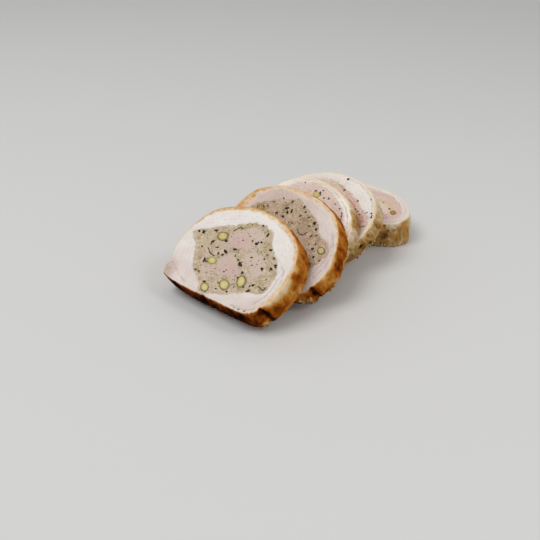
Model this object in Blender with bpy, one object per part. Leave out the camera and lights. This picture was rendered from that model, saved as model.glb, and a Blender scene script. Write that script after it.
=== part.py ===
import bpy
import bmesh
import math
import random
from mathutils import Matrix, Vector

# Sliced galantine: five cut slices lie one on the next, like shingles, along +Y.
# Each slice has a ring of poached meat round a filling that runs right through.
# Sizes below are in millimetres. A slice is drawn flat, u across and v up its cut
# face, then tipped back onto the slice behind it.

mm = 0.001
fitGap = 0.3            # room kept between pieces that touch
ringPoints = 56         # points round a slice
edgeRound = 0.9         # soft edge where the cut face meets the skin
skinBulge = 0.6         # how far the side swells between its two edges
backRound = 1.8         # how much smaller the hidden face is, round its edge
rimRipple = 0.3         # unevenness of the skin
ringSwell = 0.35        # the ring stands a little proud of its edges
speckSize = (0.5, 1.0)  # half length of a peppercorn speck
speckHeight = 0.4
speckSpacing = 2.4
rowCentre = (-32.3, 74.5)   # middle of the row, moved onto the origin

# base: where the lower back edge stands, across and along the row
# taper: how much thicker the slice gets for each mm up its face
# rim, filling, ham: outlines on the cut face
# kernels: u, v, half length, half width, turn in degrees
# folds: u, v, depth and width of creases in the skin
slices = [
    {
        "name": "slice_1", "base": (-30.0, -6.5), "lean": 55.0, "yaw": 2.0,
        "thick": 16.5, "taper": 0.040, "centre": (-2.0, 29.0),
        "rim": [(-38.3, 1.4), (-41.2, 3.8), (-42.6, 7.4), (-40.4, 10.6), (-42.8, 15),
                (-47.3, 23), (-46, 33), (-37.5, 48), (-22, 58.7), (-4, 62.3), (13, 60.2),
                (28, 54), (36.5, 44), (39.5, 30), (37, 13), (30, 3), (16, 1), (-4, 0.2),
                (-26, 0)],
        "filling": [(-39, 33.5), (-30, 39.5), (-19, 46), (-6, 52.4), (3, 55), (10, 52.2),
                    (19, 43), (28, 35), (31, 27), (29.5, 17.5), (19, 12.8), (8, 7.4),
                    (0, 4.4), (-4.2, 1.9), (-8.8, 2.5), (-12.5, 6), (-21.5, 12),
                    (-27.5, 20), (-31, 25.5)],
        "ham": [[(-11.6, 36.5), (-12.4, 40), (-9.9, 44.5), (-6, 48.6), (0, 51.6),
                 (5, 51.2), (8.5, 47.5), (9.8, 43.5), (7.3, 39.8), (3, 37.2), (-2, 35),
                 (-7, 33.8)],
                [(-15.2, 15.2), (-13.6, 17.4), (-9.6, 19.2), (-9.3, 24.8), (-6.9, 28.8),
                 (-2, 30.2), (2, 27.8), (6, 24.5), (7.4, 21.4), (5.3, 18.9), (0, 17),
                 (-6, 15.5), (-11, 13.9)],
                [(4, 33), (8, 36.2), (15, 37.2), (19.5, 34.8), (22, 30.3), (22.2, 26),
                 (18, 24.2), (11.5, 27)]],
        "kernels": [(-17.8, 38.3, 4.0, 3.0, 0), (-13.8, 21.9, 3.2, 2.4, 5),
                    (-6.7, 5.7, 3.4, 2.6, 154), (4.2, 12.1, 3.9, 3.1, 160),
                    (13.0, 18.2, 4.0, 3.0, 118)],
        "specks": 24, "folds": [(36.0, 9.5, 1.6, 2.4), (-40.4, 10.6, 0.7, 2.0)],
    },
    {
        "name": "slice_2", "base": (-30.0, 27.9), "lean": 50.0, "yaw": 2.0,
        "thick": 14.0, "taper": 0.025, "centre": (1.0, 31.0),
        "rim": [(-42.5, 28), (-41, 40), (-34.5, 53.5), (-21, 62), (-6, 64.8), (5, 65),
                (14, 63.6), (24, 59.6), (31, 54.6), (37, 47.5), (42.5, 36), (44.3, 25),
                (40.5, 11), (33, 3.5), (18, 0.4), (-8, 0), (-26, 1.2), (-38, 9)],
        "filling": [(-31.5, 33), (-29.5, 44.5), (-18, 52.2), (-7, 57), (-1, 58.8),
                    (6, 56.2), (16, 52), (21, 47.5), (26, 42.6), (34.5, 38.2), (37, 31.5),
                    (31, 20), (18, 9), (2, 5.5), (-16, 8), (-28, 19)],
        "ham": [[(8.6, 42.2), (9.6, 45), (12.6, 46.8), (16, 45.4), (17.6, 42.2),
                 (16.4, 39.2), (13, 38), (10, 39.4)]],
        "kernels": [(-23.0, 44.5, 3.3, 2.5, 150), (32.4, 33.7, 2.7, 2.3, 150)],
        "specks": 16, "folds": [(43.6, 30.0, 1.0, 2.4), (38, 9.0, 1.4, 3.0)],
    },
    {
        "name": "slice_3", "base": (-33.0, 51.3), "lean": 48.0, "yaw": 0.0,
        "thick": 11.0, "taper": 0.022, "centre": (-2.0, 31.0),
        "rim": [(-40.5, 36), (-34, 52), (-20, 61.7), (-6, 64), (8, 62), (20, 57.6),
                (30, 49.3), (35.3, 39), (35.5, 25), (30, 9.5), (18, 1.2), (-4, 0),
                (-26, 1.8), (-38, 12)],
        "filling": [(-35, 34), (-30, 46.5), (-19, 56.5), (-6, 60.6), (6, 58.8), (14, 55.4),
                    (20, 51.2), (25.5, 45.2), (29.3, 36), (28, 23), (21, 11), (7, 5),
                    (-10, 5), (-26, 10), (-34, 21)],
        "ham": [],
        "kernels": [(-2.2, 54.0, 2.6, 2.1, 167)],
        "specks": 12, "folds": [],
    },
    {
        "name": "slice_4", "base": (-36.0, 74.8), "lean": 46.0, "yaw": 0.0,
        "thick": 12.5, "taper": 0.020, "centre": (0.0, 30.0),
        "rim": [(-40.5, 28), (-35, 42), (-24, 52.3), (-8, 59), (9, 60.5), (22, 58),
                (33, 51), (39.5, 42), (40.3, 31), (36, 17), (26, 4), (8, 0),
                (-14, 0.3), (-31, 5), (-39, 15)],
        "filling": [(-35, 30), (-28, 42), (-16, 50), (-2, 54), (11, 53.6), (20, 49.8),
                    (27, 43.5), (33, 41), (36.9, 36), (36, 26), (31, 14), (20, 5.5),
                    (2, 3.6), (-18, 5), (-31, 14)],
        "ham": [[(8, 43), (15, 46.6), (22, 44.2), (27, 40), (32, 38.6), (34.4, 34),
                 (33.2, 24), (27, 13), (15, 9.5), (6, 17), (4, 31)]],
        "kernels": [],
        "specks": 9, "folds": [],
    },
    {
        "name": "slice_5", "base": (-36.0, 92.4), "lean": 83.0, "yaw": 0.0,
        "thick": 14.5, "taper": math.tan(math.radians(7.0)), "centre": (-4.0, 38.0),
        "rim": [(-41, 30), (-40, 45), (-32, 59), (-19, 69.5), (-3, 72.7), (10, 71),
                (22, 66.5), (32, 58), (36.8, 48), (34, 38.5), (24, 30.5), (12, 19.5),
                (2, 8), (-8, 1), (-22, 0.5), (-35, 12)],
        "filling": [(-36, 32), (-34.5, 45), (-27, 57), (-15, 65.5), (-2, 67.8), (9, 66.6),
                    (19, 62.5), (27.5, 55), (31.2, 47), (28, 40), (18, 31.5), (7, 21),
                    (-2, 10.5), (-12, 5.3), (-23, 6.5), (-32, 17)],
        "ham": [[(10, 40), (14, 43.6), (20, 44.6), (25, 43), (26.4, 40.6), (21, 36.2),
                 (12, 30), (4, 27), (0, 31), (4, 37)]],
        "kernels": [(24.4, 48.8, 2.8, 2.1, 130)],
        "specks": 5, "folds": [],
    },
]

palette = {
    "breast_meat": ((0.68, 0.58, 0.52), 0.45),
    "forcemeat": ((0.50, 0.38, 0.25), 0.55),
    "pink_forcemeat": ((0.66, 0.54, 0.47), 0.50),
    "ham": ((0.57, 0.41, 0.36), 0.45),
    "pistachio": ((0.66, 0.56, 0.22), 0.40),
}


def clearScene():
    for obj in list(bpy.data.objects):
        bpy.data.objects.remove(obj, do_unlink=True)


def makeMaterials():
    made = {}
    for name, (colour, roughness) in palette.items():
        material = bpy.data.materials.new(name)
        material.use_nodes = True
        shader = material.node_tree.nodes["Principled BSDF"]
        shader.inputs["Base Color"].default_value = (*colour, 1.0)
        shader.inputs["Roughness"].default_value = roughness
        shader.inputs["Metallic"].default_value = 0.0
        made[name] = material
    return made


def smoothLoop(points, steps=10):
    # closed curve through a few points
    count = len(points)
    loop = []
    for i in range(count):
        p0, p1, p2, p3 = (Vector(points[(i + k) % count]) for k in (-1, 0, 1, 2))
        for k in range(steps):
            t = k / steps
            loop.append(0.5 * (2 * p1 + (p2 - p0) * t
                               + (2 * p0 - 5 * p1 + 4 * p2 - p3) * t * t
                               + (3 * p1 - p0 - 3 * p2 + p3) * t ** 3))
    return loop


def evenLoop(points, count):
    # the same curve at even steps round it
    loop = smoothLoop(points)
    lengths = [(loop[(i + 1) % len(loop)] - p).length for i, p in enumerate(loop)]
    step = sum(lengths) / count
    even = []
    travelled = 0.0
    for i, start in enumerate(loop):
        end = loop[(i + 1) % len(loop)]
        while len(even) < count and len(even) * step <= travelled + lengths[i]:
            share = (len(even) * step - travelled) / lengths[i]
            even.append(start.lerp(end, share))
        travelled += lengths[i]
    return even


def radiusAt(loop, centre, angle):
    # distance from the centre to the curve along one direction
    way = Vector((math.cos(angle), math.sin(angle)))
    best = 0.0
    for i, start in enumerate(loop):
        a = start - centre
        b = loop[(i + 1) % len(loop)] - centre
        crossA = way.x * a.y - way.y * a.x
        crossB = way.x * b.y - way.y * b.x
        if crossA * crossB <= 0.0 and crossA != crossB:
            hit = a.lerp(b, crossA / (crossA - crossB))
            best = max(best, hit.dot(way))
    return best


def grownLoop(points, amount, count):
    # an outline moved outwards by an even amount
    loop = evenLoop(points, count)
    grown = []
    for i, p in enumerate(loop):
        along = loop[(i + 1) % count] - loop[i - 1]
        out = Vector((along.y, -along.x)).normalized()
        grown.append(p + out * amount)
    area = sum(p.x * loop[(i + 1) % count].y - loop[(i + 1) % count].x * p.y
               for i, p in enumerate(loop))
    if area < 0.0:
        grown = [p - (q - p) for p, q in zip(loop, grown)]
    return grown


def anticlockwise(points):
    area = sum(p[0] * points[(i + 1) % len(points)][1]
               - points[(i + 1) % len(points)][0] * p[1] for i, p in enumerate(points))
    return list(points) if area > 0.0 else list(reversed(points))


def place(part):
    # from the drawn slice to its place in the row
    x = (part["base"][0] - rowCentre[0]) * mm
    y = (part["base"][1] - rowCentre[1]) * mm
    return (Matrix.Translation((x, y, 0.0))
            @ Matrix.Rotation(math.radians(part["yaw"]), 4, "Z")
            @ Matrix.Rotation(math.radians(90.0 - part["lean"]), 4, "X")
            @ Matrix.Scale(mm, 4))


def backDepth(part, v):
    return -part["taper"] * v


def addObject(name, bm, material):
    bmesh.ops.recalc_face_normals(bm, faces=bm.faces)
    mesh = bpy.data.meshes.new(name)
    bm.to_mesh(mesh)
    bm.free()
    obj = bpy.data.objects.new(name, mesh)
    bpy.context.scene.collection.objects.link(obj)
    if material:
        mesh.materials.append(material)
    return obj


def putInRow(obj, part):
    # the slice's own shape is whole: tip it back and stand it on z = 0
    obj.data.transform(place(part))
    for vertex in obj.data.vertices:
        vertex.co.z = max(vertex.co.z, 0.0)
    obj.data.update()


def ringVerts(bm, points, depths):
    return [bm.verts.new((p[0], p[1], w)) for p, w in zip(points, depths)]


def bandFaces(bm, lower, upper):
    count = len(lower)
    for i in range(count):
        j = (i + 1) % count
        bm.faces.new((lower[i], lower[j], upper[j], upper[i]))


def meatRing(part, rng):
    # ring of meat: skin side, cut face, hole wall and hidden face
    bm = bmesh.new()
    centre = Vector(part["centre"])
    outline = evenLoop(anticlockwise(part["rim"]), ringPoints)
    hole = smoothLoop(part["filling"])
    ways = [(p - centre).normalized() for p in outline]
    reach = [(p - centre).length for p in outline]
    holeReach = [radiusAt(hole, centre, math.atan2(w.y, w.x)) for w in ways]
    thick = part["thick"]
    # share of the thickness, inset of the side there
    profile = [(0.0, backRound), (0.1, backRound * 0.35), (0.42, -skinBulge),
               (0.76, -skinBulge * 0.7), (1.0 - edgeRound / thick, 0.0)]
    levels = []
    for share, inset in profile:
        points = []
        depths = []
        for way, far in zip(ways, reach):
            v = centre.y + way.y * far
            lift = min(1.0, max(0.0, v / 12.0)) if inset > 0.0 else 1.0
            size = far - inset * lift
            for foldU, foldV, foldDepth, foldWidth in part["folds"]:
                off = (centre + way * far - Vector((foldU, foldV))).length / foldWidth
                size -= foldDepth * math.exp(-off * off) * (0.3 < share < 1.0)
            if 0.2 < share < 0.9:
                size += rng.uniform(-rimRipple, rimRipple)
            p = centre + way * size
            points.append(p)
            back = backDepth(part, p.y)
            depths.append(back + share * (thick - back))
        levels.append(ringVerts(bm, points, depths))
    rimFace = [centre + way * (far - edgeRound) for way, far in zip(ways, reach)]
    levels.append(ringVerts(bm, rimFace, [thick] * ringPoints))
    middle = [centre + way * (far * 0.5 + near * 0.5)
              for way, far, near in zip(ways, reach, holeReach)]
    levels.append(ringVerts(bm, middle, [thick + ringSwell] * ringPoints))
    edge = [centre + way * near for way, near in zip(ways, holeReach)]
    levels.append(ringVerts(bm, edge, [thick] * ringPoints))
    levels.append(ringVerts(bm, edge, [backDepth(part, p.y) for p in edge]))
    for lower, upper in zip(levels, levels[1:] + levels[:1]):
        bandFaces(bm, lower, upper)
    return bm


def prism(points, low, high):
    # straight piece with an outline; low and high give the depth at a point
    bm = bmesh.new()
    bottom = ringVerts(bm, points, [low(p) for p in points])
    top = ringVerts(bm, points, [high(p) for p in points])
    bandFaces(bm, bottom, top)
    bm.faces.new(top)
    bm.faces.new(list(reversed(bottom)))
    return bm


def fillingOutline(part, inset):
    centre = Vector(part["centre"])
    outline = evenLoop(anticlockwise(part["rim"]), ringPoints)
    hole = smoothLoop(part["filling"])
    points = []
    for p in outline:
        way = (p - centre).normalized()
        near = radiusAt(hole, centre, math.atan2(way.y, way.x))
        points.append(centre + way * (near - inset))
    return points


def kernelShape(spot, grow, full):
    # cut kernel: half an ellipsoid with its flat side at depth 0, or a whole one
    u, v, halfLength, halfWidth, turn = spot
    bm = bmesh.new()
    bmesh.ops.create_uvsphere(bm, u_segments=14, v_segments=8, radius=1.0)
    if not full:
        cut = bmesh.ops.bisect_plane(bm, geom=bm.verts[:] + bm.edges[:] + bm.faces[:],
                                     plane_co=(0, 0, 0), plane_no=(0, 0, 1),
                                     dist=0.0001, clear_outer=True)
        rim = [e for e in cut["geom_cut"] if isinstance(e, bmesh.types.BMEdge)]
        bmesh.ops.contextual_create(bm, geom=rim)
    bmesh.ops.scale(bm, verts=bm.verts,
                    vec=(halfLength + grow, halfWidth + grow, halfWidth * 1.3 + grow))
    bmesh.ops.rotate(bm, verts=bm.verts, cent=(0, 0, 0),
                     matrix=Matrix.Rotation(math.radians(turn), 3, "Z"))
    bmesh.ops.translate(bm, verts=bm.verts, vec=(u, v, 0.0))
    return bm


def edgeDistance(p, loop):
    best = 1e9
    for i, a in enumerate(loop):
        b = loop[(i + 1) % len(loop)]
        run = b - a
        t = min(1.0, max(0.0, (p - a).dot(run) / run.length_squared))
        best = min(best, (a + run * t - p).length)
    return best


def inside(p, loop):
    hit = False
    for i, a in enumerate(loop):
        b = loop[(i + 1) % len(loop)]
        if (a.y > p.y) != (b.y > p.y):
            if p.x < a.x + (p.y - a.y) / (b.y - a.y) * (b.x - a.x):
                hit = not hit
    return hit


def speckSpots(part, rng):
    # seeded places on the filling, clear of ham, kernels and each other
    border = fillingOutline(part, fitGap)
    hams = [evenLoop(h, 24) for h in part["ham"]]
    spots = []
    tries = 0
    while len(spots) < part["specks"] and tries < 4000:
        tries += 1
        p = Vector((rng.uniform(-45, 45), rng.uniform(0, 72)))
        if not inside(p, border) or edgeDistance(p, border) < 1.8:
            continue
        if any(inside(p, h) or edgeDistance(p, h) < 1.8 for h in hams):
            continue
        if any((p - Vector(k[:2])).length < k[2] + 1.8 for k in part["kernels"]):
            continue
        if any((p - q).length < speckSpacing for q in spots):
            continue
        spots.append(p)
    return spots


def applyBoolean(obj, operation, collection):
    change = obj.modifiers.new("join", "BOOLEAN")
    change.operation = operation
    change.operand_type = "COLLECTION"
    change.collection = collection
    change.solver = "EXACT"
    bpy.context.view_layer.update()
    shaped = bpy.data.meshes.new_from_object(
        obj.evaluated_get(bpy.context.evaluated_depsgraph_get()))
    obj.modifiers.clear()
    obj.data = shaped
    for tool in list(collection.objects):
        bpy.data.objects.remove(tool, do_unlink=True)
    bpy.data.collections.remove(collection)


def newCollection(name):
    collection = bpy.data.collections.new(name)
    bpy.context.scene.collection.children.link(collection)
    return collection


def addTool(bm, collection):
    tool = addObject("tool", bm, None)
    bpy.context.scene.collection.objects.unlink(tool)
    collection.objects.link(tool)
    tool.hide_render = True
    tool.display_type = "WIRE"


def shadeRound(obj, angle=35.0):
    obj.data.shade_smooth()
    obj.data.set_sharp_from_angle(angle=math.radians(angle))


def buildSlice(part, materials, rng):
    name = part["name"]
    thick = part["thick"]

    def back(p):
        return backDepth(part, p.y)

    meat = addObject(name + "_meat", meatRing(part, rng), materials["breast_meat"])
    putInRow(meat, part)
    shadeRound(meat)

    fillSlot = "pink_forcemeat" if name == "slice_3" else "forcemeat"
    plug = prism(fillingOutline(part, fitGap), back, lambda p: thick)
    filling = addObject(name + "_filling", plug, materials[fillSlot])

    cutters = newCollection(name + "_cutters")
    for outline in part["ham"]:
        wide = grownLoop(anticlockwise(outline), fitGap, 28)
        addTool(prism(wide, lambda p: back(p) - 2.0, lambda p: thick + 2.0), cutters)
    for spot in part["kernels"]:
        bm = kernelShape(spot, fitGap, True)
        bmesh.ops.translate(bm, verts=bm.verts, vec=(0, 0, thick))
        addTool(bm, cutters)
    if cutters.objects:
        applyBoolean(filling, "DIFFERENCE", cutters)
    else:
        bpy.data.collections.remove(cutters)

    specks = newCollection(name + "_specks")
    for p in speckSpots(part, rng):
        size = rng.uniform(*speckSize)
        bm = bmesh.new()
        bmesh.ops.create_uvsphere(bm, u_segments=6, v_segments=4, radius=1.0)
        bmesh.ops.scale(bm, verts=bm.verts, vec=(size, size * rng.uniform(0.5, 0.8), 0.6))
        bmesh.ops.rotate(bm, verts=bm.verts, cent=(0, 0, 0),
                         matrix=Matrix.Rotation(rng.uniform(0.0, math.pi), 3, "Z"))
        bmesh.ops.translate(bm, verts=bm.verts, vec=(p.x, p.y, thick + speckHeight - 0.6))
        addTool(bm, specks)
    applyBoolean(filling, "UNION", specks)
    putInRow(filling, part)

    for number, outline in enumerate(part["ham"], 1):
        piece = prism(evenLoop(anticlockwise(outline), 28), back, lambda p: thick)
        ham = addObject(f"{name}_ham_{number}", piece, materials["ham"])
        putInRow(ham, part)
    for number, spot in enumerate(part["kernels"], 1):
        bm = kernelShape(spot, 0.0, False)
        bmesh.ops.translate(bm, verts=bm.verts, vec=(0, 0, thick))
        kernel = addObject(f"{name}_pistachio_{number}", bm, materials["pistachio"])
        putInRow(kernel, part)
        shadeRound(kernel)


def main():
    clearScene()
    materials = makeMaterials()
    rng = random.Random(7)
    for part in slices:
        buildSlice(part, materials, rng)


main()
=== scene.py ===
import math
import random

import bmesh
import bpy
import numpy as np
from mathutils import Matrix, Vector, noise


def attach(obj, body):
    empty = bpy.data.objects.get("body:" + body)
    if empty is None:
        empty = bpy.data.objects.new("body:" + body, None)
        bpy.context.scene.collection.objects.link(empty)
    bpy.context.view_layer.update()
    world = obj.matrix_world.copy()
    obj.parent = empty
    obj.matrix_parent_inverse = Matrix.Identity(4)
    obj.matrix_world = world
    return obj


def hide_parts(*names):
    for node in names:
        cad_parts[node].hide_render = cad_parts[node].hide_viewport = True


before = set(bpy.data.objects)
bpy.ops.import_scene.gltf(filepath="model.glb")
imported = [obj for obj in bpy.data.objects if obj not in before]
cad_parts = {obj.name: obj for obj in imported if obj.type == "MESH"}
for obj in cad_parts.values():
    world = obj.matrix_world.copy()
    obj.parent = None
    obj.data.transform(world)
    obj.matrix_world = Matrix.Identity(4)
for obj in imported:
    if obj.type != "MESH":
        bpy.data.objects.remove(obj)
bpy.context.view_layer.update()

mm = 0.001
fullTurn = 2.0 * math.pi
rowCentre = (-32.3, 74.5)   # middle of the row, in mm from the front slice's corner

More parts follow.
